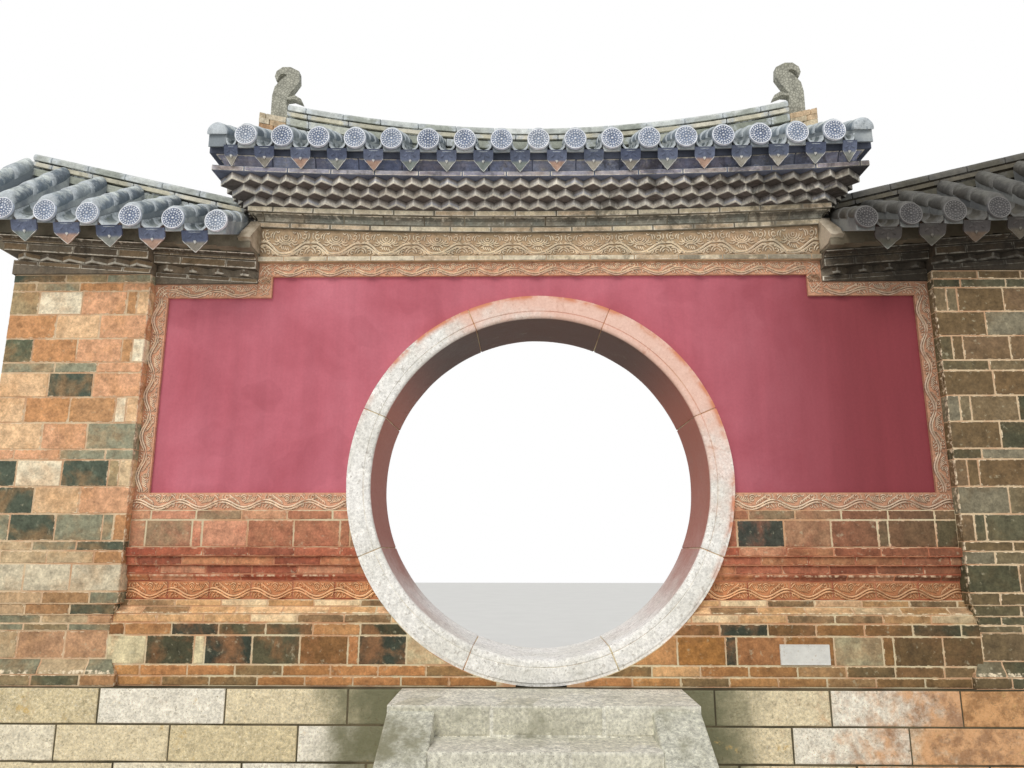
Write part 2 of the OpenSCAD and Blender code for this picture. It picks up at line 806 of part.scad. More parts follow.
module side_stack(x0, x1, half, levels, end_out) {
    n = len(levels);
    points = [for (l = levels, c = [[0, -1], [1, -1], [1, 1], [0, 1]])
        let(x = c[0] == 0 ? x0 : x1 + end_out * l[1])
        [x, c[1] * (half + l[1]), l[0] + l[2] * side_lift(x)]];
    last = 4 * (n - 1);
    faces_y = [for (k = [0:n - 2], i = [0, 2]) let(a = 4 * k + i) [a, a + 4, a + 5, a + 1]];
    inner_end = [concat([for (k = [0:n - 1]) 4 * k], [for (k = [n - 1:-1:0]) 4 * k + 3])];
    outer_end = end_out
        ? [for (k = [0:n - 2]) let(a = 4 * k + 1) [a, a + 4, a + 5, a + 1]]
        : [concat([for (k = [0:n - 1]) 4 * k + 2], [for (k = [n - 1:-1:0]) 4 * k + 1])];
    polyhedron(points = points, faces = concat(
        faces_y, [for (f = inner_end) [for (i = [len(f) - 1:-1:0]) f[i]]], outer_end,
        [[0, 1, 2, 3]], [[last + 3, last + 2, last + 1, last]]));
}

module side_teeth(x0, x1, half, z0, end_out) {
    n = round((x1 - x0) / side_tooth_pitch);
    m = round(2 * half / side_tooth_pitch);
    z1 = z0 + side_tooth_h - seat;
    edge = x1 + 2 * side_tooth_depth;
    intersection() {
        translate([0, 0, z0])
            linear_extrude(side_tooth_h + 2 * side_lift(x1))
                polygon(concat(
                    teeth([x0, -half], [x1, -half], n, side_tooth_depth),
                    end_out ? teeth([x1, -half], [x1, half], m, side_tooth_depth) : [[x1, -half]],
                    teeth([x1, half], [x0, half], n, side_tooth_depth), [[x0, half]]));
        rotate([90, 0, 0])
            translate([0, 0, -bed_half])
                linear_extrude(2 * bed_half)
                    polygon([
                        [x0, z0 + side_lift(x0)], [edge, z0 + side_lift(edge)],
                        [edge, z1 + side_lift(edge)], [x0, z1 + side_lift(x0)]]);
    }
}

module side_cornice_part(x0, x1, half, foot, end_out) {
    z1 = shoulder_top + side_fillet_h;
    z2 = z1 + side_tooth_h;
    z3 = z2 + side_band_h;
    z4 = z3 + side_line_h;
    z5 = z4 + side_cyma_h;
    side_stack(x0, x1, half, [[foot + seat, side_fillet_out, 0], [z1, side_fillet_out, 1]], end_out);
    side_teeth(x0, x1, half, z1 + seat, end_out == 1);
    side_stack(x0, x1, half, concat(
        [[z2 + seat, side_band_out, 1], [z3, side_band_out, 1],
            [z3, side_line_out, 1], [z4, side_line_out, 1]],
        [for (p = ogee(side_line_out, z4, side_out, z5)) [p[1], p[0], 1]]), end_out);
}

module side_cornice(left) {
    color("#7d6a50")
        at_side(left) {
            side_cornice_part(block_half + 1, pier_in - seat, wall_half + border_t, shoulder_top, 0);
            side_cornice_part(pier_in, pier_out, pier_half, pier_top, 1);
        }
}

module side_bed(left) {
    color("#77756a")
        at_side(left)
            union() {
                for (i = [0:side_rows]) {
                    x = side_first + i * side_pitch;
                    bed_slab(1, x - slab_half, x + slab_half, slab_under(1, x + slab_half) + seat,
                        side_bed_edge);
                    if (i < side_rows)
                        bed_slab(1, x + slab_half, side_first + (i + 1) * side_pitch - slab_half,
                            slab_under(1, x + side_pitch - slab_half) + seat, side_bed_edge);
                }
                bed_slab(1, side_apron_x, side_first - slab_half, slab_under(1, side_first - slab_half) + seat,
                    side_bed_edge, apron_drop);
            }
}

module side_covers(left) {
    color("#7f8f98")
        at_side(left)
            for (back = [false, true], i = [0:side_rows])
                at_face(back)
                    cover(1, side_first + i * side_pitch, i == 0 ? side_cut_y : ridge_half + seat,
                        i < side_rows);
}

module side_pans(left) {
    w = side_pitch - 2 * slab_half - 2 * seat;
    color("#6d7a80")
        at_side(left)
            for (back = [false, true])
                at_face(back)
                    for (i = [0:side_rows - 1])
                        pan(1, side_first + (i + 0.5) * side_pitch, w, side_pan_end, ridge_half + seat);
}

// The inner end of a side ridge leans away from the corbelled end of the centre cornice
module side_ridge(left) {
    x0 = side_first + side_ridge_in;
    x1 = side_end - side_ridge_short;
    n = 6;
    color("#8d9a8f")
        at_side(left)
            ridge_run(ridge_section(ridge_h), [for (i = [0:n])
                let(x = x0 + (x1 - x0) * i / n)
                [x, ridge_seat_z(1, x), i == 0 ? side_ridge_lean : 0]]);
}

foundation();
steps(false);  // steps_front
steps(true);  // steps_back
cheeks(false);  // cheeks_front
cheeks(true);  // cheeks_back
plinth(true);  // plinth_left
plinth(false);  // plinth_right
waist(true);  // waist_left
waist(false);  // waist_right
dado(true);  // dado_left
dado(false);  // dado_right
wall(true);  // wall_left
wall(false);  // wall_right
wall_head();
plaster(false);  // plaster_front
plaster(true);  // plaster_back
border(false);  // border_front
border(true);  // border_back
ring_stone(1);  // ring_stone_1
ring_stone(2);  // ring_stone_2
ring_stone(3);  // ring_stone_3
ring_stone(4);  // ring_stone_4
ring_stone(5);  // ring_stone_5
ring_stone(6);  // ring_stone_6
ring_stone(7);  // ring_stone_7
ring_stone(8);  // ring_stone_8
pier(true);  // pier_left
pier(false);  // pier_right
frieze();
cornice_cap();
dogtooth(0);  // dogtooth_1
dogtooth(1);  // dogtooth_2
dogtooth(2);  // dogtooth_3
eave_moulding();
roof_bed();
cover_tiles();
pan_tiles();
ridge();
finial(true);  // finial_left
finial(false);  // finial_right
side_cornice(true);  // side_cornice_left
side_cornice(false);  // side_cornice_right
side_bed(true);  // side_bed_left
side_bed(false);  // side_bed_right
side_covers(true);  // side_covers_left
side_covers(false);  // side_covers_right
side_pans(true);  // side_pans_left
side_pans(false);  // side_pans_right
side_ridge(true);  // side_ridge_left
side_ridge(false);  // side_ridge_right
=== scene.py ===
# %% [markdown]
# # A moon gate, dressed round its measured frame
# A moon gate is a round doorway in a garden wall. This one has a ring of granite, a plastered red
# panel in a carved border, brick piers, a cornice of bricks laid cornerwise and a roof of grey tiles.
# The frame is a CAD model whose solids stand where the real pieces stand. In this lesson each of them
# gets a finish, and bricks, tiles and carving are modelled over them.
# %% Load the frame
import math
import random

import bmesh
import bpy
import numpy as np
from mathutils import Matrix, Vector


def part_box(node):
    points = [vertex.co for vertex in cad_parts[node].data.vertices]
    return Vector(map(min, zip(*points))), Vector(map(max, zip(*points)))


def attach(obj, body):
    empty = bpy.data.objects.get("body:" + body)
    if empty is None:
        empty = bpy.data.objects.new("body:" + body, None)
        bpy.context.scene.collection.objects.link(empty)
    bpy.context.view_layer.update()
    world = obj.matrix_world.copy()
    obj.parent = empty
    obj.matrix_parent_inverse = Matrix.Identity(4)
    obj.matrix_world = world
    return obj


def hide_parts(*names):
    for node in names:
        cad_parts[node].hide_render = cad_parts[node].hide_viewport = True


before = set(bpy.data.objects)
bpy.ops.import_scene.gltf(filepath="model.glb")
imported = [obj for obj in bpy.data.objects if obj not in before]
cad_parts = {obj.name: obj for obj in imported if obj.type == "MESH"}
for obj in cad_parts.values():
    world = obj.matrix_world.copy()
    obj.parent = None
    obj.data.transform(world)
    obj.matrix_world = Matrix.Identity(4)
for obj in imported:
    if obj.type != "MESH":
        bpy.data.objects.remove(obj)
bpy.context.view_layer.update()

# %% [markdown]
# ## Sizes
# Metres. The axes are those of the frame: X runs along the wall, Y goes into it from the front, and Z
# is the height over the ground. These few sizes are used again and again, so they are named once.
# %% Sizes of the gate
RING_Z = 1.8003  # height of the centre of the ring
RING_IN, RING_OUT = 1.05, 1.2  # its radii
PIER_IN, PIER_OUT = 2.5403, 3.44  # ends of a pier, from the middle of the wall
PANEL_HALF, HEAD_HALF = 2.447, 1.762  # half lengths of the plaster, below and above the shoulders
BLOCK_HALF = 1.855  # half length of the block that carries the frieze and the cornice
BED_HALF = 2.144  # half length of the centre roof
JOINT = 0.007  # mortar between two bricks
PROUD = 0.003  # how far the laid faces stand out from the frame's
print("clear width of the ring:", 2 * RING_IN, "m, its top at", round(RING_Z + RING_OUT, 3), "m")

# %% [markdown]
# ## Camera
# The photograph was taken at eye height, a little left of the middle, with the camera tipped up. Its
# place, turn and lens were worked out from the ellipse of the ring and from the level lines.
# %% Camera
camera_data = bpy.data.cameras.new("camera")
camera = bpy.data.objects.new("camera", camera_data)
bpy.context.scene.collection.objects.link(camera)
camera.location = (-0.096, -5.101, 1.38)
camera.rotation_euler = (math.radians(102.14), math.radians(-0.05), math.radians(0.9))
camera_data.lens = 27.23
camera_data.sensor_width = 36
camera_data.clip_end = 200
bpy.context.scene.camera = camera
print("camera at", tuple(camera.location), "with a lens of", camera_data.lens, "mm")


# %% [markdown]
# ## Light and floor
# An overcast sky gives soft light from everywhere, so the world is a plain grey dome, and one wide sun
# adds a little direction. What the camera sees behind the gate is white, by the Light Path node, and
# that adds no light to the object.
# %% Colour helper, world, sun and floor
def tint(code):
    """A colour written as in a paint program, such as "c9997c", as linear RGBA."""
    parts = [int(code[i:i + 2], 16) / 255 for i in (0, 2, 4)]
    return tuple(p / 12.92 if p <= 0.04045 else ((p + 0.055) / 1.055) ** 2.4 for p in parts) + (1.0,)


DOME_COLOUR, DOME_STRENGTH = (0.93, 0.96, 1.0, 1), 0.72
SUN_COLOUR, SUN_STRENGTH, SUN_WIDTH = (1.0, 0.97, 0.92), 1.5, 25
SUN_TILT, SUN_SIDE = 48, -24


def light_the_scene():
    world = bpy.data.worlds.new("overcast")
    bpy.context.scene.world = world
    world.use_nodes = True
    nodes, links = world.node_tree.nodes, world.node_tree.links
    nodes.clear()
    dome = nodes.new("ShaderNodeBackground")
    dome.inputs["Color"].default_value = DOME_COLOUR
    dome.inputs["Strength"].default_value = DOME_STRENGTH
    seen = nodes.new("ShaderNodeBackground")
    seen.inputs["Color"].default_value = (1, 1, 1, 1)
    ray = nodes.new("ShaderNodeLightPath")
    blend = nodes.new("ShaderNodeMixShader")
    out = nodes.new("ShaderNodeOutputWorld")
    links.new(ray.outputs["Is Camera Ray"], blend.inputs[0])
    links.new(dome.outputs[0], blend.inputs[1])
    links.new(seen.outputs[0], blend.inputs[2])
    links.new(blend.outputs[0], out.inputs["Surface"])

    sun_data = bpy.data.lights.new("sun", "SUN")
    sun_data.energy, sun_data.color, sun_data.angle = SUN_STRENGTH, SUN_COLOUR, math.radians(SUN_WIDTH)
    sun = bpy.data.objects.new("sun", sun_data)
    sun.rotation_euler = (math.radians(SUN_TILT), 0, math.radians(SUN_SIDE))
    bpy.context.scene.collection.objects.link(sun)


light_the_scene()
bpy.context.scene.view_settings.view_transform = "Standard"


def clear_selection():
    if bpy.context.object and bpy.context.object.mode != "OBJECT":
        bpy.ops.object.mode_set(mode="OBJECT")
    bpy.ops.object.select_all(action="DESELECT")


clear_selection()
bpy.ops.mesh.primitive_plane_add(size=60, location=(0, 0, 0))
floor = bpy.context.object
floor.name = "floor"
print("world, sun and", floor.name)


# %% [markdown]
# ## Finishes
# Every finish is a small tree of nodes that works in Object coordinates, so that a speckle keeps its
# real size on every piece. The class below only shortens the writing: each method adds one node or a
# few, and hands back an output. The last one joins colour, bumps and roughness to the shader.
# %% A helper that builds finishes
class Finish:
    """A material under construction."""

    def __init__(self, name, roughness=0.85, specular=0.35):
        self.material = bpy.data.materials.new(name)
        self.material.use_nodes = True
        self.tree = self.material.node_tree
        self.shader = self.tree.nodes["Principled BSDF"]
        self.shader.inputs["Roughness"].default_value = roughness
        self.shader.inputs["Specular IOR Level"].default_value = specular
        self.place = self.node("ShaderNodeTexCoord").outputs["Object"]
        self.axes = None

    def node(self, kind, **settings):
        made = self.tree.nodes.new(kind)
        for key, value in settings.items():
            setattr(made, key, value)
        return made

    def feed(self, socket, value):
        if isinstance(value, bpy.types.NodeSocket):
            self.tree.links.new(value, socket)
        else:
            socket.default_value = value

    def noise(self, scale, detail=4.0, rough=0.6, seed=0, stretch=(1, 1, 1), warp=0.0):
        """Cloudy noise from 0 to 1. Another seed reads it at another place."""
        mapping = self.node("ShaderNodeMapping")
        self.feed(mapping.inputs["Vector"], self.place)
        mapping.inputs["Location"].default_value = (seed * 3.17, seed * 1.31, seed * 2.53)
        mapping.inputs["Scale"].default_value = stretch
        made = self.node("ShaderNodeTexNoise")
        self.feed(made.inputs["Vector"], mapping.outputs[0])
        for key, value in (("Scale", scale), ("Detail", detail), ("Roughness", rough), ("Distortion", warp)):
            made.inputs[key].default_value = value
        return made.outputs[0]

    def crackle(self, scale):
        """Distance from the borders of a pattern of cells."""
        made = self.node("ShaderNodeTexVoronoi", feature="DISTANCE_TO_EDGE")
        self.feed(made.inputs["Vector"], self.place)
        made.inputs["Scale"].default_value = scale
        return made.outputs["Distance"]

    def face_value(self, name):
        """An attribute of the laid pieces: tone, edge or relief."""
        return self.node("ShaderNodeAttribute", attribute_name=name).outputs["Fac"]

    def along(self, axis):
        """X, Y or Z of the place, in metres."""
        if self.axes is None:
            self.axes = self.node("ShaderNodeSeparateXYZ")
            self.feed(self.axes.inputs[0], self.place)
        return self.axes.outputs["XYZ".index(axis)]

    def upward(self):
        """1 where a face looks up, 0 where it is upright and -1 where it looks down."""
        parts = self.node("ShaderNodeSeparateXYZ")
        self.feed(parts.inputs[0], self.node("ShaderNodeNewGeometry").outputs["Normal"])
        return parts.outputs[2]

    def sums(self, operation, a, b=0.0, c=None):
        made = self.node("ShaderNodeMath", operation=operation)
        self.feed(made.inputs[0], a)
        self.feed(made.inputs[1], b)
        if c is not None:
            self.feed(made.inputs[2], c)
        return made.outputs[0]

    def times(self, a, b):
        return self.sums("MULTIPLY", a, b)

    def mask(self, value, low, high):
        """0 below low, 1 above high, smooth between. low may be the larger."""
        made = self.node("ShaderNodeMapRange", interpolation_type="SMOOTHSTEP")
        self.feed(made.inputs["Value"], value)
        made.inputs["From Min"].default_value = low
        made.inputs["From Max"].default_value = high
        return made.outputs[0]

    def patches(self, scale, detail, rough, low, high, seed=0, warp=0.0):
        """Soft-edged patches: the mask of a noise."""
        return self.mask(self.noise(scale, detail, rough, seed, warp=warp), low, high)

    def rim(self, scale):
        """The edge attribute, worn in places by a noise."""
        return self.times(self.face_value("edge"), self.noise(scale, 3, 0.6, seed=6))

    def ramp(self, value, stops, mode="LINEAR"):
        made = self.node("ShaderNodeValToRGB")
        self.feed(made.inputs[0], value)
        bar = made.color_ramp
        bar.interpolation = mode
        while len(bar.elements) < len(stops):
            bar.elements.new(0.5)
        for element, (where, colour) in zip(bar.elements, stops):
            element.position = where
            element.color = tint(colour)
        return made.outputs[0]

    def tones(self, colours):
        """Each laid piece takes one of the colours, by its own tone."""
        return self.ramp(self.face_value("tone"), [(i / len(colours), c) for i, c in enumerate(colours)],
                         "CONSTANT")

    def mix(self, amount, a, b, mode="MIX"):
        made = self.node("ShaderNodeMix", data_type="RGBA", blend_type=mode)
        self.feed(made.inputs[0], amount)
        self.feed(made.inputs[6], tint(a) if isinstance(a, str) else a)
        self.feed(made.inputs[7], tint(b) if isinstance(b, str) else b)
        return made.outputs[2]

    def over(self, colour, where, amount, coat):
        """A coat over a colour, where the mask says, and there only by an amount."""
        return self.mix(self.times(where, amount), colour, coat)

    def shade(self, colour, value, low, high):
        """Darkens and lightens a colour between two factors by a noise."""
        grey = self.node("ShaderNodeMapRange")
        self.feed(grey.inputs["Value"], value)
        for key, limit in (("From Min", 0.25), ("From Max", 0.75), ("To Min", low), ("To Max", high)):
            grey.inputs[key].default_value = limit
        spread = self.node("ShaderNodeCombineColor")
        for socket in spread.inputs[:3]:
            self.feed(socket, grey.outputs[0])
        return self.mix(1.0, colour, spread.outputs[0], "MULTIPLY")

    def vary(self, colour, scale, detail, rough, low, high, seed=0):
        return self.shade(colour, self.noise(scale, detail, rough, seed), low, high)

    def right_end_shade(self, colour, amount, shadow):
        """Painted shade, with some dirt: darkens what lies above the right shoulder, by the side roof."""
        lower = self.mask(self.sums("MULTIPLY_ADD", self.along("X"), -0.45, self.along("Z")), 2.965, 2.885)
        here = self.times(self.mask(self.along("X"), 1.84, 1.95), self.mask(self.along("Z"), 3.16, 3.24))
        return self.over(colour, self.times(here, lower), amount, shadow)

    def bump(self, height, depth=0.002, strength=0.6, under=None):
        made = self.node("ShaderNodeBump")
        made.inputs["Strength"].default_value = strength
        made.inputs["Distance"].default_value = depth
        self.feed(made.inputs["Height"], height)
        if under is not None:
            self.feed(made.inputs["Normal"], under)
        return made.outputs[0]

    def done(self, colour, normal, roughness=None):
        self.feed(self.shader.inputs["Base Color"], colour)
        self.feed(self.shader.inputs["Normal"], normal)
        if roughness is not None:
            self.feed(self.shader.inputs["Roughness"], roughness)
        print("finish", self.material.name, "of", len(self.tree.nodes), "nodes")
        return self.material


# %% [markdown]
# ## Floor finish
# The floor is only a stage: pale, nearly even, and large enough to be seen through the opening.
# %% Floor finish
f = Finish("floor_pale", 0.9)
floor.data.materials.append(f.done(
    f.shade(tint("d9d7d2"), f.noise(1.5), 0.97, 1.03), f.bump(f.noise(60), 0.001, 0.3)))


# %% [markdown]
# ## Brick
# The bricks were fired unevenly, so each one has a tone of its own: cream, orange, olive or nearly
# black. Each laid brick carries that as a face attribute called tone. A second attribute, edge, is 1
# along the rim of its face, where corners are chipped and mortar is smeared, and 0 inside. The right
# end is painted browner and darker as painted shade, and the foot of the piers is damp.
# %% Brick finishes
def brick_finish(name, colours, stain, stain_amount=0.5, smear="d9c6a2", right_shade_amount=0.0, damp=0.0):
    f = Finish(name, 0.88, 0.25)
    own = f.tones(colours)
    stained = f.mix(f.patches(5.5, 5, 0.62, 0.42, 0.66, seed=1, warp=0.4), own, stain)
    colour = f.mix(stain_amount, own, stained)
    # Painted shade: browner and darker towards the right end.
    if right_shade_amount:
        colour = f.over(colour, f.mask(f.along("X"), 0.7, 2.5), right_shade_amount, "4f4a34")
    colour = f.over(colour, f.mask(f.along("Z"), 2.1, 0.9), damp, "5f5a40")
    colour = f.vary(colour, 17, 4, 0.65, 0.54, 1.38, seed=2)
    colour = f.vary(colour, 75, 3, 0.7, 0.68, 1.28, seed=3)
    lichen, soot = f.patches(26, 4, 0.6, 0.61, 0.72, seed=4), f.patches(2.1, 4, 0.6, 0.56, 0.74, seed=5)
    colour = f.over(f.over(colour, lichen, 0.35, "cfc6a6"), soot, 0.35, "5a5343")
    colour = f.mix(f.mask(f.rim(34), 0.42, 0.62), colour, smear)
    pits = f.noise(75, 5, 0.7, seed=7)
    dents = f.bump(f.noise(9, 3, 0.5, seed=8), 0.006, 0.4, f.bump(pits, 0.003, 0.55))
    return f.done(colour, dents, f.mask(pits, -0.6, 1.0))


PLINTH_TONES = ["a8753f", "4c4a36", "b77f52", "5d5840", "3f4438", "c08d5c", "dccda4", "86603a"]
DADO_TONES = ["cf8c6b", "b57b5c", "cf9a76", "8f7a5c", "c47c5f", "a5896a", "d59878", "454a44"]
FOOT_TONES = ["c9935c", "b07c4c", "d9ab78", "8f7550", "c48a58"]
PALE_TONES = ["efc797", "e0b27e", "f4d8ac", "d0a06c", "e8bd92", "8f7352"]
THIN_TONES = ["c4775a", "b0654a", "cf9270", "a25640", "c88a62", "9a5a44"]
PIER_TONES = ["efc699", "9c9a80", "e6ae85", "f8e8c8", "b09a74", "696d55", "d39a6a", "e8caa0",
              "565f50", "c8976a"]
brick_plinth = brick_finish("brick_plinth", PLINTH_TONES, "b57b4f", right_shade_amount=0.65)
brick_foot = brick_finish("brick_foot", FOOT_TONES, "c08a54", 0.4, "e6d2aa", 0.75)
brick_pale = brick_finish("brick_pale", PALE_TONES, "d9a878", 0.4, "f0dcb8", 0.45)
brick_dado = brick_finish("brick_dado", DADO_TONES, "c2775c", 0.5, "e2c0a2", 0.8)
brick_thin = brick_finish("brick_thin", THIN_TONES, "ad5f44", 0.55, "e6c8a6", 0.5)
brick_pier = brick_finish("brick_pier", PIER_TONES, "c9935f", 0.4, "f2dfbf", 0.8, 0.4)


# %% [markdown]
# ## Mortar
# The frame's brick masses stay where they are and show only in the joints between the laid bricks, so
# they get the finish of the mortar: cream low down, warmer on the piers, grey and lime-white higher up.
# %% Mortar finishes
def mortar_finish(name, light, warm):
    f = Finish(name, 0.92, 0.2)
    colour = f.mix(f.patches(3.5, 4, 0.6, 0.4, 0.62), light, warm)
    colour = f.vary(colour, 90, 4, 0.7, 0.82, 1.1, seed=1)
    # Painted shade, with some dirt, above the right shoulder.
    colour = f.right_end_shade(colour, 0.6, "3d3222")
    return f.done(colour, f.bump(f.noise(160, 4, 0.7), 0.002, 0.6))


mortar_cream = mortar_finish("mortar_cream", "dccdaa", "cfa27c")
mortar_warm = mortar_finish("mortar_warm", "e0c6a2", "cba07c")
mortar_grey = mortar_finish("mortar_grey", "8f8674", "6c6455")
mortar_lime = mortar_finish("mortar_lime", "c6cac8", "8e959a")
mortar_tan = mortar_finish("mortar_tan", "d2c4ae", "8f7f6a")
mortar_blue = mortar_finish("mortar_blue", "72788a", "5a5f6d")
mortar_red = mortar_finish("mortar_red", "c98a68", "a05c44")
earth_joint = mortar_finish("earth_joint", "6a604a", "4a4434")


# %% [markdown]
# ## Plaster
# Rose-red limewash over lime plaster, brushed on and washed down by rain. It is palest in the middle
# of the wall and darker at the right end, which is painted shade, with fine upright streaks and a few
# patched places.
# %% Plaster finish
def plaster_finish():
    f = Finish("plaster_red", 0.8, 0.3)
    colour = f.ramp(f.noise(1.6, 5, 0.6, warp=0.3), [(0.3, "b45b67"), (0.5, "c46b78"), (0.7, "ce7885")])
    # Painted shade: darker towards the right end.
    colour = f.mix(f.mask(f.along("X"), 0.8, 2.2), colour, "863a40")
    streaks = f.noise(9, 4, 0.6, seed=2, stretch=(1, 1, 0.08))
    colour = f.shade(colour, streaks, 0.9, 1.08)
    colour = f.vary(colour, 60, 4, 0.7, 0.93, 1.06, seed=3)
    colour = f.over(colour, f.patches(3.1, 2, 0.4, 0.6, 0.64, seed=4), 0.12, "8e3a46")
    brushed = f.bump(f.noise(45, 5, 0.6, stretch=(1, 1, 0.4)), 0.002, 0.35)
    return f.done(colour, f.bump(f.noise(4, 2, 0.5, seed=5), 0.01, 0.35, brushed))


plaster_red = plaster_finish()


# %% [markdown]
# ## Granite
# All granite has mineral speckle in two sizes, and over it the stains that rain and lichen leave. The
# ring is pale at the left and below, and pink-orange at its top and right. Its inside is washed red
# down to the knee, and painted dark near its crown as painted shade. The base is cream, with orange
# lichen to the right and grey-green damp by the steps.
# %% Granite finishes
def speckle(f, colour, dark, light, size, coarse):
    grains = f.noise(230 * size, 3, 0.75, seed=9)
    colour = f.mix(f.mask(grains, 0.56, 0.68), colour, light)
    colour = f.mix(f.mask(grains, 0.41, 0.33), colour, dark)
    colour = f.vary(colour, 62, 2, 0.6, 1 - coarse, 1 + 0.8 * coarse, seed=11)
    return f.vary(colour, 24, 4, 0.6, 1 - 0.8 * coarse, 1 + 0.6 * coarse, seed=10)


def ring_finish():
    f = Finish("ring_granite", 0.75, 0.35)
    colour = f.mix(f.patches(3.2, 4, 0.55, 0.35, 0.65), "fcf9f3", "edeae1")
    colour = speckle(f, colour, "b3aa9a", "fbf8f0", 1.0, 0.24)
    colour = f.over(colour, f.patches(44, 2, 0.5, 0.63, 0.7, seed=12), 0.4, "8d8172")
    up = f.sums("MULTIPLY_ADD", f.along("Z"), 0.75, -1.35)
    side = f.sums("MULTIPLY_ADD", f.along("X"), 0.42, up)
    patchy = f.sums("ADD", side, f.times(f.noise(4.5, 5, 0.65, seed=1), 1.1))
    colour = f.over(colour, f.mask(patchy, 0.75, 1.45), 0.75, "edb59d")
    veins = f.times(f.patches(7, 5, 0.7, 0.58, 0.7, seed=2, warp=1.5), f.mask(patchy, 0.8, 1.3))
    colour = f.over(colour, veins, 0.45, "c08468")
    height = f.sums("SUBTRACT", f.along("Z"), RING_Z)
    radius = f.sums("POWER", f.sums("ADD", f.sums("POWER", f.along("X"), 2.0),
                                    f.sums("POWER", height, 2.0)), 0.5)
    outer = f.times(f.mask(radius, 1.15, RING_OUT), f.patches(6, 4, 0.65, 0.4, 0.6, seed=13))
    colour = f.mix(f.times(outer, f.mask(side, -0.3, 0.3)), colour, "d98d68")
    within = f.times(f.mask(radius, RING_IN + 0.03, RING_IN + 0.004),
                     f.mask(f.sums("ABSOLUTE", f.along("Y")), 0.296, 0.27))
    ruddy = f.mask(f.sums("MULTIPLY_ADD", f.noise(3, 4, 0.6), 0.35, up), -0.6, -0.05)
    # Red stain inside the ring, darkened near the crown as painted shade.
    red_wash_and_crown_shade = f.mix(f.mask(f.along("Z"), 2.2, 2.7), "a35a47", "48312b")
    colour = f.over(colour, f.times(within, ruddy), 0.92, red_wash_and_crown_shade)
    colour = f.over(colour, f.patches(13, 5, 0.65, 0.6, 0.75, seed=3), 0.4, "8c8271")
    tooled = f.bump(f.noise(150, 4, 0.75), 0.0025, 0.5)
    return f.done(colour, f.bump(f.noise(11, 4, 0.55), 0.006, 0.4, tooled))


def base_finish():
    f = Finish("base_granite", 0.85, 0.3)
    colour = speckle(f, f.tones(["f8ecd0", "efdeb8", "fdf5e2", "e4d2a8"]), "a8976f", "fbf3de", 0.6, 0.3)
    damp = f.sums("ADD", f.mask(f.sums("ABSOLUTE", f.along("X")), 1.75, 0.85),
                  f.times(f.noise(3.3, 5, 0.65, seed=1), 0.9))
    colour = f.mix(f.mask(damp, 0.85, 1.4), colour, "7c7a5e")
    orange = f.sums("ADD", f.mask(f.along("X"), 0.9, 3.0), f.noise(2.6, 5, 0.7, seed=2, warp=0.5))
    orange = f.sums("MULTIPLY_ADD", f.noise(11, 4, 0.7, seed=6), 1.1, orange)
    lichen = f.mix(f.patches(9, 5, 0.7, 0.4, 0.6, seed=8), "e0a46c", "a06a3a")
    colour = f.over(colour, f.mask(orange, 1.2, 1.8), 0.85, lichen)
    colour = f.mix(f.patches(6, 5, 0.7, 0.62, 0.74, seed=3), colour, "d8b673")
    colour = f.over(colour, f.patches(1.7, 5, 0.65, 0.57, 0.72, seed=4), 0.35, "756b4f")
    colour = f.over(colour, f.patches(34, 3, 0.7, 0.6, 0.68, seed=9), 0.4, "6b5f45")
    pecked = f.bump(f.noise(42, 5, 0.75), 0.012, 0.9)
    return f.done(colour, f.bump(f.noise(7, 4, 0.6), 0.012, 0.5, pecked))


def step_finish(name, light, shadow):
    f = Finish(name, 0.85, 0.3)
    colour = speckle(f, f.mix(f.face_value("tone"), light, shadow), "6d6a5c", "e9e6da", 0.75, 0.42)
    colour = f.mix(f.patches(2.4, 5, 0.65, 0.5, 0.72, seed=1), colour, "8d8a70")
    colour = f.over(colour, f.mask(f.face_value("edge"), 0.3, 1.0), 0.5, "ded9c8")
    pecked = f.bump(f.noise(48, 5, 0.75), 0.01, 0.9)
    return f.done(colour, f.bump(f.noise(9, 4, 0.6), 0.008, 0.5, pecked))


ring_granite = ring_finish()
base_granite = base_finish()
step_granite = step_finish("step_granite", "f0ecdc", "d0cbb2")
cheek_granite = step_finish("cheek_granite", "d8d6c4", "c4c2ae")


# %% [markdown]
# ## Carved brick
# The border and the frieze are carved in brick. The attribute relief is 0 on the ground, low at the
# foot of a stroke, which is painted dark as painted shade, and 1 on its back, which is painted pale as
# a painted highlight.
# %% Carving finishes
def carving_finish(name, groove, ground, rib_highlight, warm, warm_amount, mossy=0.0):
    f = Finish(name, 0.88, 0.25)
    # Painted shade at the foot of a stroke (groove) and painted highlight on its back.
    colour = f.ramp(f.face_value("relief"), [(0.06, ground), (0.15, groove), (0.27, groove), (0.5, rib_highlight)])
    colour = f.over(colour, f.patches(2.7, 5, 0.65, 0.4, 0.65, seed=1), warm_amount, warm)
    if mossy:
        colour = f.over(colour, f.patches(4.3, 5, 0.7, 0.5, 0.7, seed=2), mossy, "7f8268")
    # Painted shade: darker towards the right end.
    colour = f.over(colour, f.mask(f.along("X"), 0.9, 2.6), 0.4, "5c402c")
    colour = f.over(colour, f.patches(60, 3, 0.6, 0.56, 0.64, seed=5), 0.25, groove)
    colour = f.vary(colour, 22, 5, 0.65, 0.74, 1.25, seed=3)
    colour = f.vary(colour, 140, 3, 0.7, 0.84, 1.14, seed=4)
    return f.done(colour, f.bump(f.noise(95, 5, 0.7), 0.002, 0.6))


border_carving = carving_finish("border_carving", "54342a", "d8a484", "ffe8cc", "dc9c7c", 0.25)
waist_carving = carving_finish("waist_carving", "56301f", "cc8c60", "ffd0a0", "d08860", 0.22)
frieze_carving = carving_finish("frieze_carving", "36291e", "b89e7e", "fff0d6", "dcb090", 0.25, 0.2)
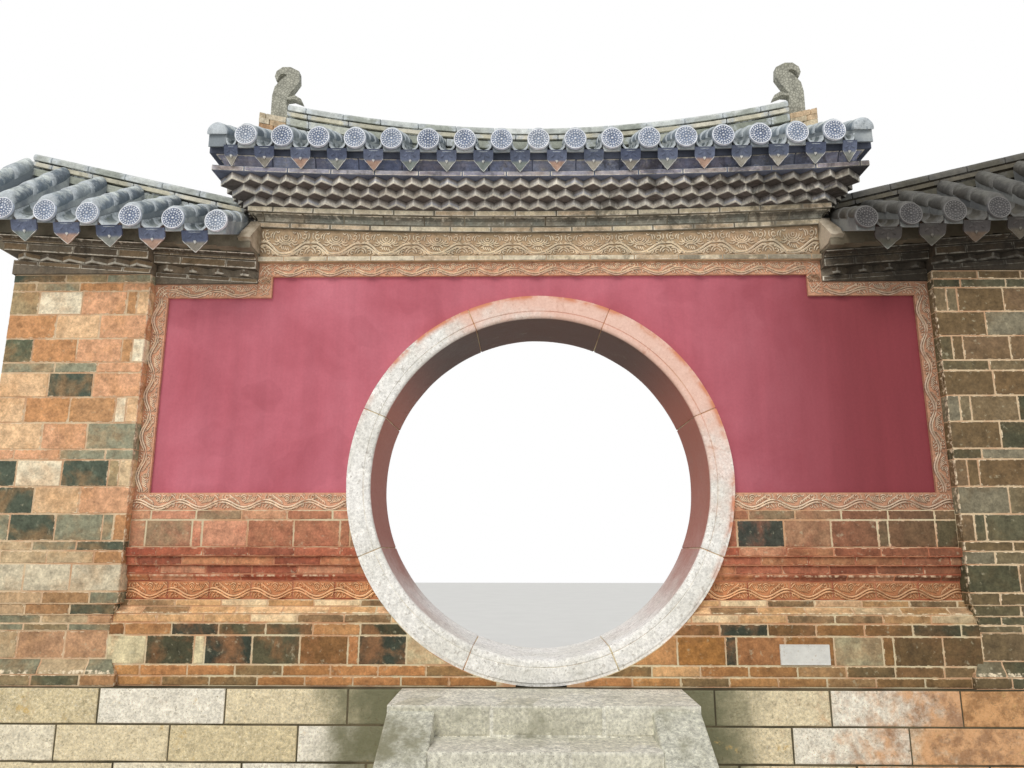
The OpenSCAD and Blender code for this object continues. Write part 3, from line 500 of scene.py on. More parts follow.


# %% [markdown]
# ## Cornice bricks
# High up, the bricks are grey-brown and weathered, and pale on upper edges; their faces that look
# down are painted dark as painted shade. A tooth is also painted darker towards its top, where it is
# deepest under the next course: painted shade, with some dirt.
# %% Cornice finishes
def cornice_finish(name, colours, dark, underside_shade_amount=0.6, deep="", shaded=0.0):
    f = Finish(name, 0.88, 0.25)
    colour = f.over(f.tones(colours), f.patches(3.1, 5, 0.65, 0.45, 0.68, seed=1), 0.4, "a88a68")
    if deep:
        # Painted shade, with some dirt, towards the top of a tooth, by its relief.
        colour = f.mix(f.mask(f.face_value("relief"), 0.6, 0.1), colour, deep)
    # Painted shade on faces that look down.
    colour = f.over(colour, f.mask(f.upward(), -0.35, -0.8), underside_shade_amount, dark)
    colour = f.over(colour, f.mask(f.upward(), 0.3, 0.9), 0.5, "b9b19c")
    # Pale rims; on the teeth this is a painted highlight on the lower chamfer and the front arris.
    colour = f.over(colour, f.mask(f.rim(30), 0.26, 0.44), 0.9, "eee6d4")
    if shaded:
        colour = f.over(colour, f.mask(f.along("X"), 1.84, 1.95), shaded, "15120d")
    clouds = f.noise(4.2, 5, 0.7, seed=7, warp=0.6)
    soot = f.sums("MULTIPLY_ADD", f.mask(f.along("X"), -0.6, 1.8), 0.12, clouds)
    colour = f.over(colour, f.mask(soot, 0.56, 0.68), 0.6, "37312a")
    colour = f.vary(colour, 19, 5, 0.65, 0.64, 1.3, seed=2)
    colour = f.vary(colour, 75, 3, 0.7, 0.76, 1.2, seed=3)
    return f.done(colour, f.bump(f.noise(80, 5, 0.7), 0.0025, 0.6))


cornice_brick = cornice_finish("cornice_brick", ["a09d8f", "8d8e83", "aea897", "98988b"], "4a4640")
tooth_brick = cornice_finish("tooth_brick", ["e6e2da", "d2cfc8", "f0eade", "dbd6cd", "c9cad0"], "544d4a",
                             0.8, "968e88")
ledge_brick = cornice_finish("ledge_brick", ["e3d2b2", "d6c0a2", "e6d8bc"], "6a5a48")
eave_brick = cornice_finish("eave_brick", ["a8afcb", "979fbc", "b6bdd4", "8b93b0"], "70778f", 0.4)
slab_brick = cornice_finish("slab_brick", ["a3a1ac", "9694a2", "aeaab0"], "73707e", 0.4)
side_brick = cornice_finish("side_brick", ["8a7e6d", "75695a", "9a8468", "7f6e5a"], "35302a", 0.7,
                            shaded=0.72)


# %% [markdown]
# ## Roof tiles
# Grey fired tiles. Lichen whitens their tops, moss grows in the channels, and the discs that close the
# rows are blue-grey. A part with tips changes its colour by relief: the field of a disc, and the point
# of a pendant.
# %% Roof finishes
def tile_finish(name, colours, lichen, lichen_amount, moss_amount, tips=(), bead="c9cfd2", scales=0.0):
    f = Finish(name, 0.7, 0.4)
    own = f.tones(colours)
    if tips:
        own = f.mix(f.mask(f.face_value("relief"), 0.2, 0.75), own, f.tones(tips))
    crust = f.sums("ADD", f.noise(9, 6, 0.72, seed=1, warp=0.4), f.times(f.mask(f.upward(), 0.0, 1.0), 0.22))
    colour = f.over(own, f.mask(crust, 0.55, 0.78), lichen_amount, lichen)
    colour = f.over(colour, f.patches(13, 5, 0.7, 0.58, 0.72, seed=2), moss_amount, "6d7048")
    colour = f.over(colour, f.mask(f.rim(40), 0.2, 0.45), 0.85, bead)
    if scales:
        colour = f.over(colour, f.mask(f.crackle(scales), 0.22, 0.02), 0.6, "66655a")
    # Painted shade, with some dirt, above the right shoulder.
    colour = f.right_end_shade(colour, 0.85, "3a2f1c")
    colour = f.vary(colour, 24, 5, 0.65, 0.62, 1.28, seed=3)
    colour = f.vary(colour, 150, 3, 0.7, 0.78, 1.18, seed=4)
    return f.done(colour, f.bump(f.noise(70, 5, 0.7), 0.002, 0.5))


tile_round = tile_finish("tile_round", ["8b96a0", "7c8790", "9aa2a6", "6f7982"], "dee3dd", 0.85, 0.3)
tile_disc = tile_finish("tile_disc", ["d2d8e4", "c2cad9", "e0e5ee"], "eaeef4", 0.5, 0.12,
                        ["76829a", "8591a6", "6c7890", "8e98a8"], "fbfcff")
tile_pan = tile_finish("tile_pan", ["6d767a", "5d676c", "7b8384", "68706f"], "a8ada6", 0.6, 0.6)
# A pendant's own tones are dark blue-grey as painted shade under the eave; its point takes the pale tip
# tones.
tile_pendant = tile_finish("tile_pendant", ["5c6478", "687086", "555d74"], "7d8490", 0.3, 0.15,
                           ["a0998c", "7e857f", "b08f7c", "8f9088", "8a8377"], "eceae2")
ridge_clay = tile_finish("ridge_clay", ["a3ab9c", "949d8d", "b2b8aa", "8a9182"], "cfd3c8", 0.7, 0.35)
finial_clay = tile_finish("finial_clay", ["b4b2a2", "a2a294", "c4c1b0"], "dedbcc", 0.6, 0.35, scales=48)


# %% [markdown]
# ## Dress the frame
# Each node of the frame gets the finish of what shows there before any new piece is made, so the
# model can be looked at from the start.
# %% Finish for every node
NODE_FINISH = {
    "foundation": earth_joint, "steps": step_granite, "cheeks": cheek_granite,
    "plinth": mortar_cream, "waist": mortar_red, "dado": mortar_cream,
    "wall": mortar_warm, "plaster": plaster_red, "border": border_carving,
    "ring_stone": ring_granite, "pier": mortar_warm, "frieze": frieze_carving,
    "cornice_cap": mortar_grey, "dogtooth": tooth_brick, "eave_moulding": mortar_blue,
    "roof_bed": mortar_blue, "cover_tiles": tile_round, "pan_tiles": tile_pan, "ridge": ridge_clay,
    "finial": finial_clay, "side_cornice": side_brick, "side_bed": mortar_grey,
    "side_covers": tile_round, "side_pans": tile_pan, "side_ridge": ridge_clay,
}
for name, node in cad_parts.items():
    key = max((k for k in NODE_FINISH if name.startswith(k)), key=len)
    for material_slot in node.material_slots:
        material_slot.material = NODE_FINISH[key]
print("dressed", len(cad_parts), "nodes with", len(set(NODE_FINISH.values())), "finishes")

# %% [markdown]
# ## Modelling once, laying many times
# A bricklayer has a stack of bricks and a line. Here the stack is one modelled brick, called a blank,
# and the line is a run of places. A blank is stretched from its ends only, so the rounding of its rim
# keeps its real size, and each copy is written into one mesh with its own tone.
# %% Picking faces and edges by place
def edit_with(kind):
    """Opens edit mode with nothing selected, and hands back the mesh for picking."""
    bpy.ops.object.mode_set(mode="EDIT")
    bpy.ops.mesh.select_mode(type=kind)
    bpy.ops.mesh.select_all(action="DESELECT")
    return bmesh.from_edit_mesh(bpy.context.object.data)


def pick(kind, test):
    """Selects what passes the test: "FACE" by its middle and normal, others by their middle."""
    shape = edit_with(kind)
    if kind == "FACE":
        chosen = [face for face in shape.faces if test(face.calc_center_median(), face.normal)]
    elif kind == "EDGE":
        chosen = [edge for edge in shape.edges if test((edge.verts[0].co + edge.verts[1].co) / 2, edge)]
    else:
        chosen = [vert for vert in shape.verts if test(vert.co, vert)]
    for item in chosen:
        item.select_set(True)
    shape.select_flush_mode()
    bmesh.update_edit_mesh(bpy.context.object.data)


def pick_rim(depth=0.001):
    """Selects the edges round a face towards -Y: those with both ends before that depth."""
    pick("EDGE", lambda middle, edge: all(v.co.y < depth for v in edge.verts))


def pick_all():
    bpy.ops.mesh.select_all(action="SELECT")


def leave_edit():
    """Turns the faces outwards and closes edit mode."""
    pick_all()
    bpy.ops.mesh.normals_make_consistent(inside=False)
    bpy.ops.object.mode_set(mode="OBJECT")
    return bpy.context.object


# %% Moves that come back in many pieces
def cut_across(axis, places):
    """Cuts all faces at places along an axis, so that long edges get points that can wander."""
    for place in places:
        pick_all()
        bpy.ops.mesh.bisect(plane_co=[place * part for part in axis], plane_no=axis)


def wander(offset, seed):
    """Moves each of the selected points a little, as hand work is never quite straight."""
    bpy.ops.transform.vertex_random(offset=offset, uniform=0.0, normal=0.0, seed=seed)


def extrude(way):
    """Draws an outline out along a way, into a closed solid."""
    edit_with("FACE")
    pick_all()
    bpy.ops.mesh.extrude_region_move(TRANSFORM_OT_translate={"value": way})
    pick_all()
    bpy.ops.mesh.normals_make_consistent(inside=False)


def round_ends():
    """Bevels the rims of the two end faces."""
    pick("FACE", lambda middle, normal: abs(normal.x) > 0.95)
    bpy.ops.mesh.region_to_loop()
    bpy.ops.mesh.bevel(offset=0.003, segments=1)


def take(piece):
    """Makes a piece the active one, and the only one selected."""
    clear_selection()
    bpy.context.view_layer.objects.active = piece
    piece.select_set(True)


def link(name, data):
    piece = bpy.data.objects.new(name, data)
    bpy.context.scene.collection.objects.link(piece)
    take(piece)
    return piece


def join(parts):
    """Joins parts into the first of them."""
    take(parts[0])
    for part in parts:
        part.select_set(True)
    bpy.ops.object.join()
    return parts[0]


def apply_place():
    bpy.ops.object.transform_apply(location=True, rotation=True, scale=True)


# %% Starting shapes
X_AXIS, Y_AXIS, Z_AXIS = (1, 0, 0), (0, 1, 0), (0, 0, 1)


def new_block(name, size, middle):
    """A box primitive at its size and place, applied, as the start of a piece."""
    clear_selection()
    bpy.ops.mesh.primitive_cube_add(size=1, location=middle)
    block = bpy.context.object
    block.name = name
    block.scale = size
    apply_place()
    return block


def new_outline(name, points):
    """One face from corner points, the start of a piece that is extruded or spun."""
    mesh = bpy.data.meshes.new(name)
    mesh.from_pydata([tuple(p) for p in points], [], [tuple(range(len(points)))])
    return link(name, mesh)


def new_drum(sides, radius, length, middle):
    """A cylinder that lies along Y."""
    clear_selection()
    bpy.ops.mesh.primitive_cylinder_add(vertices=sides, radius=radius, depth=length, location=middle,
                                        rotation=(math.radians(90), 0, 0))
    return bpy.context.object


def new_drop(segments, rings, radius, middle, squeeze, turn):
    """A small sphere, squeezed and turned about Y: a bead or a leaf."""
    clear_selection()
    bpy.ops.mesh.primitive_uv_sphere_add(segments=segments, ring_count=rings, radius=radius, location=middle)
    drop = bpy.context.object
    drop.scale, drop.rotation_euler = squeeze, (0, turn, 0)
    apply_place()
    return drop


def run_modifier(piece, kind, **settings):
    """Adds a modifier, sets it and applies it."""
    take(piece)
    modifier = piece.modifiers.new(kind.lower(), kind)
    for key, value in settings.items():
        setattr(modifier, key, value)
    bpy.ops.object.modifier_apply(modifier=modifier.name)
    return piece


# %% Blanks
END_KEPT = 0.016


class Blank:
    """The mesh of one modelled unit: its face is at y = 0 and looks towards -Y. Its edge attribute falls
    off over the width of a rim, or comes from a function of the point."""

    def __init__(self, piece, rim=0.012, edge=None):
        mesh = piece.data
        self.points = np.array([tuple(v.co) for v in mesh.vertices])
        self.faces = [tuple(p.vertices) for p in mesh.polygons]
        self.low, self.high = self.points.min(0), self.points.max(0)
        inset = np.minimum(self.points - self.low, self.high - self.points)
        across = np.minimum(inset[:, 0], inset[:, 2])
        front = self.points[:, 1] - self.low[1] < 0.006
        self.edge = np.where(front, np.clip(1.2 - across / rim, 0, 1), 0.5)
        if edge is not None:
            self.edge = np.array([edge(point) for point in self.points], dtype=float)
        self.relief = np.clip((0.002 - self.points[:, 1]) / 0.008, 0, 1)
        bpy.data.objects.remove(piece)

    def stretched(self, length, height=None):
        """Points with the middle stretched and both ends kept."""
        points = self.points.copy()
        for axis, size in ((0, length), (2, height)):
            if size is None:
                continue
            half = (self.high[axis] - self.low[axis]) / 2
            middle = (self.high[axis] + self.low[axis]) / 2
            keep = min(END_KEPT, 0.3 * size)
            value = points[:, axis] - middle
            inner = np.clip(value, END_KEPT - half, half - END_KEPT)
            points[:, axis] = (inner * (size / 2 - keep) / (half - END_KEPT)
                               + (value - inner) * keep / END_KEPT)
        return points


# %% Laying copies into one mesh
def faced(points, face, turn):
    """Points moved out to their face and turned to their side: 0 looks towards -Y, 1 +X, 2 +Y, 3 -X."""
    x, y = points[:, 0].copy(), points[:, 1] - face
    points[:, 0], points[:, 1] = ((x, y), (-y, x), (-x, -y), (y, -x))[turn]
    return points


class Laying:
    """Copies of blanks, gathered for one mesh."""

    def __init__(self, seed):
        self.dice = random.Random(seed)
        self.points, self.faces, self.tone, self.edge, self.relief = [], [], [], [], []
        self.count = self.copies = 0

    def add(self, blank, points, flip=False):
        self.points.append(points)
        for face in blank.faces:
            row = tuple(i + self.count for i in face)
            self.faces.append(row[::-1] if flip else row)
        self.tone += [self.dice.random()] * len(blank.faces)
        self.edge.append(blank.edge)
        self.relief.append(blank.relief)
        self.count += len(points)
        self.copies += 1

    def lay(self, blank, u0, u1, z0, z1, face, turn=0, rise=None, mitre=(0, 0), loose=0.001, joint=JOINT):
        """Between two places along a face and two heights. Without z1 the blank keeps its height."""
        points = blank.stretched(u1 - u0 - joint, None if z1 is None else z1 - z0 - joint)
        if z1 is None:
            points[:, 2] += z0
        else:
            points[:, 2] += (z0 + z1) / 2 - (points[:, 2].min() + points[:, 2].max()) / 2
        last = points[:, 0] > points[:, 0].max() - 0.012
        first = points[:, 0] < points[:, 0].min() + 0.012
        points[last, 0] -= mitre[1] * points[last, 1]
        points[first, 0] += mitre[0] * points[first, 1]
        points[:, 0] += (u0 + u1) / 2
        points[:, 1] += self.dice.uniform(-loose, loose)
        points = faced(points, face, turn)
        if rise is not None:
            points[:, 2] += rise(points[:, 0])
        self.add(blank, points)

    def copy(self, blank, matrix, rise=None):
        """Under any matrix, such as a tile on a slope."""
        m = np.array(matrix)
        points = blank.points @ m[:3, :3].T + m[:3, 3]
        if rise is not None:
            points[:, 2] += rise(points[:, 0])
        self.add(blank, points)

    def make(self, name, material, slot, replaced=(), smooth=None):
        mesh = bpy.data.meshes.new(name)
        mesh.from_pydata(np.concatenate(self.points).tolist(), [], self.faces)
        for key, domain, values in (("tone", "FACE", self.tone),
                                    ("edge", "POINT", np.concatenate(self.edge)),
                                    ("relief", "POINT", np.concatenate(self.relief))):
            mesh.attributes.new(key, "FLOAT", domain).data.foreach_set("value", values)
        piece = link(name, mesh)
        if smooth:
            bpy.ops.object.shade_smooth_by_angle(angle=math.radians(smooth))
        return settle(piece, material, replaced, "%d copies" % self.copies)


def settle(piece, material, replaced=(), note=""):
    """Gives a finished piece its finish and its body, and hides the nodes it stands for."""
    piece.data.materials.clear()
    piece.data.materials.append(material)
    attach(piece, "root")
    if replaced:
        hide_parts(*replaced)
    print(piece.name, note, len(piece.data.polygons), "faces")
    return piece


def cut_round_ring(piece):
    """Cuts a piece along the outside of the ring with a round boolean, which is then removed."""
    cutter = new_drum(160, RING_OUT + 0.003, 3, (0, 0, RING_Z))
    run_modifier(piece, "BOOLEAN", operation="DIFFERENCE", object=cutter, solver="EXACT")
    bpy.data.objects.remove(cutter)


# %% [markdown]
# ## The ring
# Eight curved through-stones, each an eighth of the circle. The section of one is drawn with the roll
# of its inner edge, the groove in its face and the set-back lip, and spun round the ring's centre. Its
# ends are rounded, the copies are turned into place, and a slow noise makes each a little uneven.
# %% One ring stone and its copies
def ring_section(set_in=0.0):
    """Radius and depth of the section, front half first."""
    roll, groove, lip, half = 0.02, RING_IN + 0.0405, 0.02, 0.3
    angles = [math.radians(a) for a in (0, 22, 45, 67, 90)]
    front = [(RING_IN + roll - roll * math.cos(a), half - roll + roll * math.sin(a)) for a in angles]
    front += [(groove, half), (groove + 0.004, half - 0.006), (groove + 0.008, half), (1.135, half),
              (RING_OUT - lip, half), (RING_OUT - lip, half - 0.006), (RING_OUT, half - 0.006)]
    section = [(RING_IN, y) for y in (0.0, 0.07, 0.14, 0.21)] + front
    mirrored = [(r, -y) for r, y in section[:0:-1]]
    whole = section + [(RING_OUT, 0.1), (RING_OUT, -0.1)] + mirrored
    return [(r + (set_in if r < 1.12 else -set_in), y * (1 - set_in / half)) for r, y in whole]


def spun(name, section, angle, steps):
    """A section spun about the ring's axis, starting to the right of the centre."""
    new_outline(name, [(r, y, RING_Z) for r, y in section])
    edit_with("FACE")
    pick_all()
    bpy.ops.mesh.spin(steps=steps, angle=angle, center=(0, 0, RING_Z), axis=Y_AXIS)
    pick_all()
    if angle > math.pi:
        bpy.ops.mesh.remove_doubles(threshold=0.0001)
    return leave_edit()


def model_ring():
    gap = 0.006 / RING_OUT
    stone = spun("voussoir", ring_section(), math.radians(45) - gap, 22)
    pick("FACE", lambda middle, normal: abs(normal.dot(Vector((
        middle.z - RING_Z, 0, -middle.x)).normalized())) > 0.98)
    bpy.ops.mesh.region_to_loop()
    bpy.ops.mesh.bevel(offset=0.004, segments=2)
    stone = leave_edit()
    clouds = bpy.data.textures.new("slow_clouds", "CLOUDS")
    clouds.noise_scale = 0.25
    for index in range(8):
        copy = link("voussoir_%d" % (index + 1), stone.data.copy())
        turn = Matrix.Rotation(math.radians(-45 * (index + 1) + 22.5) - gap / 2, 4, "Y")
        centre = Matrix.Translation((0, 0, RING_Z))
        copy.data.transform(centre @ turn @ centre.inverted())
        run_modifier(copy, "DISPLACE", texture=clouds, texture_coords="GLOBAL", strength=0.005, mid_level=0.5)
        bpy.ops.object.shade_smooth_by_angle(angle=math.radians(40))
        settle(copy, ring_granite, ["ring_stone_%d" % (index + 1)])
    bpy.data.objects.remove(stone)
    bed = spun("ring_bedding", ring_section(0.006), 2 * math.pi, 96)
    settle(bed, mortar_cream)


model_ring()


# %% [markdown]
# ## The bricks
# A brick starts as a box. Its front rim is bevelled, two cuts across it let its edges wander a little,
# and its face is inset, so that the rim can carry smeared mortar. Four such blanks with different
# wandering are enough that no repeat shows.
# %% Brick blanks
def brick_blank(seed, length=0.28, height=0.06, depth=0.11, loose=0.0012):
    new_block("brick", (length, depth, height), (0, depth / 2, 0))
    pick_rim()
    bpy.ops.mesh.bevel(offset=0.004, segments=1)
    cut_across(X_AXIS, (-0.22 * length, 0.18 * length))
    pick("FACE", lambda middle, normal: normal.y < -0.95)
    bpy.ops.mesh.inset(thickness=0.009)
    pick("VERT", lambda place, vert: place.y < 0.02)
    wander(loose, seed)
    return Blank(leave_edit())


BRICKS = [brick_blank(seed) for seed in range(4)]
CORNER = [brick_blank(seed + 10, depth=0.115) for seed in range(2)]
print("brick blanks:", len(BRICKS), "of", len(BRICKS[0].faces), "faces")

# %% [markdown]
# ## Bonds
# Thin courses run with plain stretchers, each course shifted by half a brick. Thick courses show brick
# faces 160 mm high with a narrow brick on end after every second or third.
# %% Bonds
THIN = [0.283]
THICK = [0.283, 0.064, 0.287, 0.285]
SHORTEST = 0.045  # a shorter piece is joined to its neighbour
TOO_SHORT = 0.03  # what the ring leaves of a brick, when it isn't worth laying
UNDER_RING = 0.24  # where the courses start that pass under the ring


def bond(start, end, lengths, shift=0.0):
    """Places along a course: pairs of ends, with short ends joined to their neighbour."""
    places, u, i = [start], start - shift, 0
    while u < end:
        u += lengths[i % len(lengths)]
        i += 1
        if u - places[-1] > SHORTEST and end - u > SHORTEST:
            places.append(u)
    places.append(end)
    return list(zip(places[:-1], places[1:]))


def ring_reach(z0, z1):
    """Half width of the ring where a course meets it most narrowly."""
    rise = max(abs(z0 - RING_Z), abs(z1 - RING_Z))
    return math.sqrt(max(RING_OUT ** 2 - rise ** 2, 0)) if rise < RING_OUT else 0.0


def wall_course(laying, z0, z1, half, end, lengths, shift, moulding=None):
    """One course on both sides of the ring and on both faces. A moulded one keeps its blank's height."""
    inner = max(UNDER_RING, ring_reach(z0, z1))
    for turn in (0, 2):
        for side in (-1, 1):
            for u0, u1 in bond(0.0, end, lengths, shift + 0.05 * laying.dice.random()):
                u0 = max(u0, inner)
                if u1 - u0 < TOO_SHORT:
                    continue
                a, b = (u0, u1) if side > 0 else (-u1, -u0)
                blank = laying.dice.choice([moulding] if moulding else BRICKS)
                laying.lay(blank, a, b, z0, None if moulding else z1, half + PROUD, turn)


print("thick bond over 2 m:", [round(b - a, 3) for a, b in bond(0, 2, THICK)])


# %% [markdown]
# ## Plinth, waist and dado
# The courses were measured from the photograph, from the granite base up. Each is given by its lower
# and upper height, its half thickness and the length of its line.
# %% Plinth, waist and dado bricks
def moulding_blank(points, length=0.28):
    """A brick moulded along its length: points are depth behind the face, and height."""
    new_outline("moulding", [(-length / 2, y, z) for y, z in points])
    extrude((length, 0, 0))
    round_ends()
    return Blank(leave_edit())


def ogee_points(out0, z0, out1, z1, back=0.07, steps=6):
    """Section of an S-shaped moulding between two half thicknesses, for moulding_blank."""
    most = max(out0, out1)
    line = []
    for i in range(steps + 1):
        t = i / steps
        line.append((most - (out0 + (out1 - out0) * (t - math.sin(2 * math.pi * t) / (2 * math.pi))),
                     z0 + (z1 - z0) * t))
    return [(back, z0)] + line + [(back, z1)]


CYMA = moulding_blank(ogee_points(0.285, 0.0035, 0.245, 0.0375))
SWELL = moulding_blank(ogee_points(0.225, 0.0035, 0.248, 0.0365))
WALL_PIECES = [
    # name, finish, seed, and its courses: low, high, half thickness, end, line of joints, shift, moulding
    ("foot_bricks", brick_foot, 14, [
        (0.601, 0.656, 0.3, 2.503, THIN, 0.02), (0.656, 0.72, 0.3, 2.53, THIN, 0.16)]),
    ("plinth_bricks", brick_plinth, 11, [
        (0.72, 0.886, 0.3, 2.585, THICK, 0.1), (0.886, 0.956, 0.3, 2.585, THIN, 0.05)]),
    ("plinth_cap_bricks", brick_pale, 15, [
        (0.956, 1.008, 0.285, 2.577, THIN, 0.19), (1.008, 1.048, 0.285, 2.57, THIN, 0.1, CYMA),
        (1.048, 1.089, 0.245, 2.56, THIN, 0.03)]),
    ("waist_bricks", brick_thin, 12, [
        (1.199, 1.239, 0.248, PIER_IN, THIN, 0.12, SWELL), (1.239, 1.2926, 0.248, PIER_IN, THIN, 0.2),
        (1.2926, 1.3462, 0.268, PIER_IN, THIN, 0.05), (1.3462, 1.3998, 0.288, PIER_IN, THIN, 0.17)]),
    ("dado_bricks", brick_dado, 13, [
        (1.3998, 1.565, 0.26, PIER_IN, THICK, 0.02), (1.565, 1.6258, 0.26, PIER_IN, THIN, 0.11)]),
]
for name, finish, seed, courses in WALL_PIECES:
    laying = Laying(seed)
    for course in courses:
        wall_course(laying, *course)
    cut_round_ring(laying.make(name, finish, "brick"))


# %% [markdown]
# ## Piers
# Each pier is laid in mixed courses: pairs of thick courses, then thin ones. Bricks turn the corners,
# so a corner brick shows its side too, and two more close the gap at the outer end of the wall.
# %% Pier bricks
PIER_COURSES = [
    # low, high, half thickness, joints along the face
    (0.601, 0.666, 0.335, "c"), (0.751, 0.91, 0.3, "a"), (0.91, 0.951, 0.304, "d"),
    (0.951, 1.002, 0.304, "c"), (1.002, 1.066, 0.311, "d"), (1.066, 1.138, 0.32, "c"),
    (1.138, 1.301, 0.32, "a"), (1.301, 1.378, 0.32, "c"), (1.378, 1.436, 0.32, "d"),
    (1.436, 1.599, 0.32, "b"), (1.599, 1.765, 0.32, "a"), (1.765, 1.931, 0.32, "b"),
    (1.931, 1.997, 0.32, "c"), (1.997, 2.166, 0.32, "a"), (2.166, 2.33, 0.32, "b"),
    (2.33, 2.489, 0.32, "a"), (2.489, 2.557, 0.32, "d"), (2.557, 2.715, 0.32, "b"),
    (2.715, 2.876, 0.32, "a"), (2.876, 3.035, 0.32, "b"), (3.035, 3.095, 0.32, "c"),
    (3.095, 3.15, 0.32, "d")]
PIER_JOINTS = {"a": [2.842, 3.128], "b": [2.613, 2.681, 2.973, 3.259], "c": [2.712, 3.001, 3.29],
               "d": [2.828, 3.101]}


def pier_ends(half):
    """Inner and outer end of a pier where its half thickness has that value."""
    return PIER_IN + 2.4 * (0.32 - half) - 0.002, PIER_OUT + half - 0.32 + PROUD


def model_piers():
    for side in (-1, 1):
        pier, end_turn = Laying(21 + side), 1 if side > 0 else 3
        for z0, z1, half, joints in PIER_COURSES:
            inner, outer = pier_ends(half)
            places = [inner] + PIER_JOINTS[joints] + [outer]
            for turn in (0, 2):
                for u0, u1 in zip(places[:-1], places[1:]):
                    flip = side if turn == 0 else -side
                    u0, u1 = u0 - 0.004 * (u0 == inner), u1 + 0.0035 * (u1 == outer)
                    a, b = (u0, u1) if flip > 0 else (-u1, -u0)
                    pier.lay(pier.dice.choice(CORNER), a, b, z0, z1, half + PROUD, turn)
            for u0, u1 in bond(-half + 0.115, half - 0.115, [0.2 if joints in "ac" else 0.14, 0.21]):
                pier.lay(pier.dice.choice(BRICKS), u0, u1, z0, z1, outer, end_turn)
        cyma, low, half = moulding_blank(ogee_points(0.338, 0.0035, 0.303, 0.0815, 0.1, 8)), 0.666, 0.335
        inner, outer = pier_ends(half)
        for turn in (0, 2):
            flip = side if turn == 0 else -side
            for u0, u1 in bond(inner, outer, THIN, 0.1):
                a, b = (u0, u1) if flip > 0 else (-u1, -u0)
                corner = (int(u0 == inner), int(u1 == outer))
                corner = corner if flip > 0 else corner[::-1]
                pier.lay(cyma, a, b, low, None, half + PROUD, turn, mitre=corner)
        for u0, u1 in bond(-half, half, [0.24]):
            corner = (int(u0 == -half), int(u1 == half))
            pier.lay(cyma, u0, u1, low, None, outer, end_turn, mitre=corner)
        pier.make("pier_bricks_right" if side > 0 else "pier_bricks_left", brick_pier, "brick")


model_piers()


# %% [markdown]
# ## The granite base
# The wall stands on three courses of granite blocks, and steps of single slabs lead up to the ring
# between two sloping cheeks. A block is a box with a rounded, slightly wandering face. The cheeks are
# drawn from the side, extruded to their width and bevelled.
# %% Blocks, slabs and cheeks
STEPS_HALF, CHEEK_OUT = 0.557, 0.806
TREADS = [
    # low, high, face, inner joints
    (0.45, 0.603, 0.86, [-0.27, 0.31]), (0.3, 0.453, 1.16, [0.12]), (0.15, 0.303, 1.46, [-0.2]),
    (0.0, 0.153, 1.76, [0.06])]


def stone_blank(seed, length, height, depth, round_by=0.008, loose=0.0025):
    new_block("stone", (length, depth, height), (0, depth / 2, 0))
    pick_rim()
    bpy.ops.mesh.bevel(offset=round_by, segments=2)
    cut_across(X_AXIS, [share * length for share in (-0.31, 0.02, 0.27)])
    pick("VERT", lambda place, vert: place.y < 0.02)
    wander(loose, seed)
    return Blank(leave_edit(), rim=0.02)


def model_base():
    long_half, end_half, course_height = 3.508, 0.363, 0.2
    blocks = [stone_blank(seed, 0.7, course_height, 0.058) for seed in range(3)]
    base = Laying(14)
    for course, shift in enumerate((0.31, 0.0, 0.43)):
        z0, z1 = course_height * course, course_height * course + course_height
        for turn in range(4):
            half, face = (end_half, long_half) if turn % 2 else (long_half, end_half)
            for u0, u1 in bond(-half, half, [0.4] if turn % 2 else [0.71, 0.66, 0.74], shift):
                if turn % 2 == 0 and u0 < CHEEK_OUT and u1 > -CHEEK_OUT:
                    u0, u1 = (CHEEK_OUT, u1) if u1 > CHEEK_OUT else (u0, -CHEEK_OUT)
                    if u1 - u0 < 0.05 or u1 - u0 > 0.8:
                        continue
                base.lay(base.dice.choice(blocks), u0, u1, z0, z1, face, turn, loose=0.002, joint=0.006,
                         mitre=(int(u0 == -half), int(u1 == half)))
    base.make("base_blocks", base_granite, "granite")


def model_steps():
    slabs = [stone_blank(seed + 4, 0.55, 0.15, 0.3, 0.012, 0.002) for seed in range(2)]
    steps = Laying(15)
    for turn in (0, 2):
        for index, (z0, z1, face, joints) in enumerate(TREADS):
            half = CHEEK_OUT if index == 0 else STEPS_HALF
            places = [-half] + joints + [half]
            for u0, u1 in zip(places[:-1], places[1:]):
                steps.lay(steps.dice.choice(slabs), u0, u1, z0, z1, face + PROUD, turn, loose=0.002,
                          joint=0.005)
                if index == 0:
                    inner = [u * 0.97 if abs(u) < half else u for u in (u0, u1)]
                    steps.lay(steps.dice.choice(slabs), *inner, z0, z1, 0.655, turn, joint=0.005)
    steps.make("step_slabs", step_granite, "granite")


def model_cheeks(front):
    cheeks = []
    outline = [(-0.8608, 0.0), (-0.8608, 0.575), (-1.8703, 0.07), (-1.8703, 0.0)]
    for side in (-1, 1):
        new_outline("cheek", [(side * 0.558, y, z) for y, z in outline])
        extrude((side * 0.248, 0, 0))
        pick("EDGE", lambda middle, edge: middle.z > 0.07
             and abs(edge.verts[0].co.y - edge.verts[1].co.y) > 0.2)
        bpy.ops.mesh.bevel(offset=0.012, segments=2)
        cut_across(Y_AXIS, (-1.1, -1.35, -1.6))
        cheeks.append(leave_edit())
    both = join(cheeks)
    both.name = "cheek_slabs_front" if front else "cheek_slabs_back"
    if not front:
        both.data.transform(Matrix.Rotation(math.pi, 4, "Z"))
    settle(both, cheek_granite, ["cheeks_front" if front else "cheeks_back"])


model_base()
model_steps()
model_cheeks(True)
model_cheeks(False)


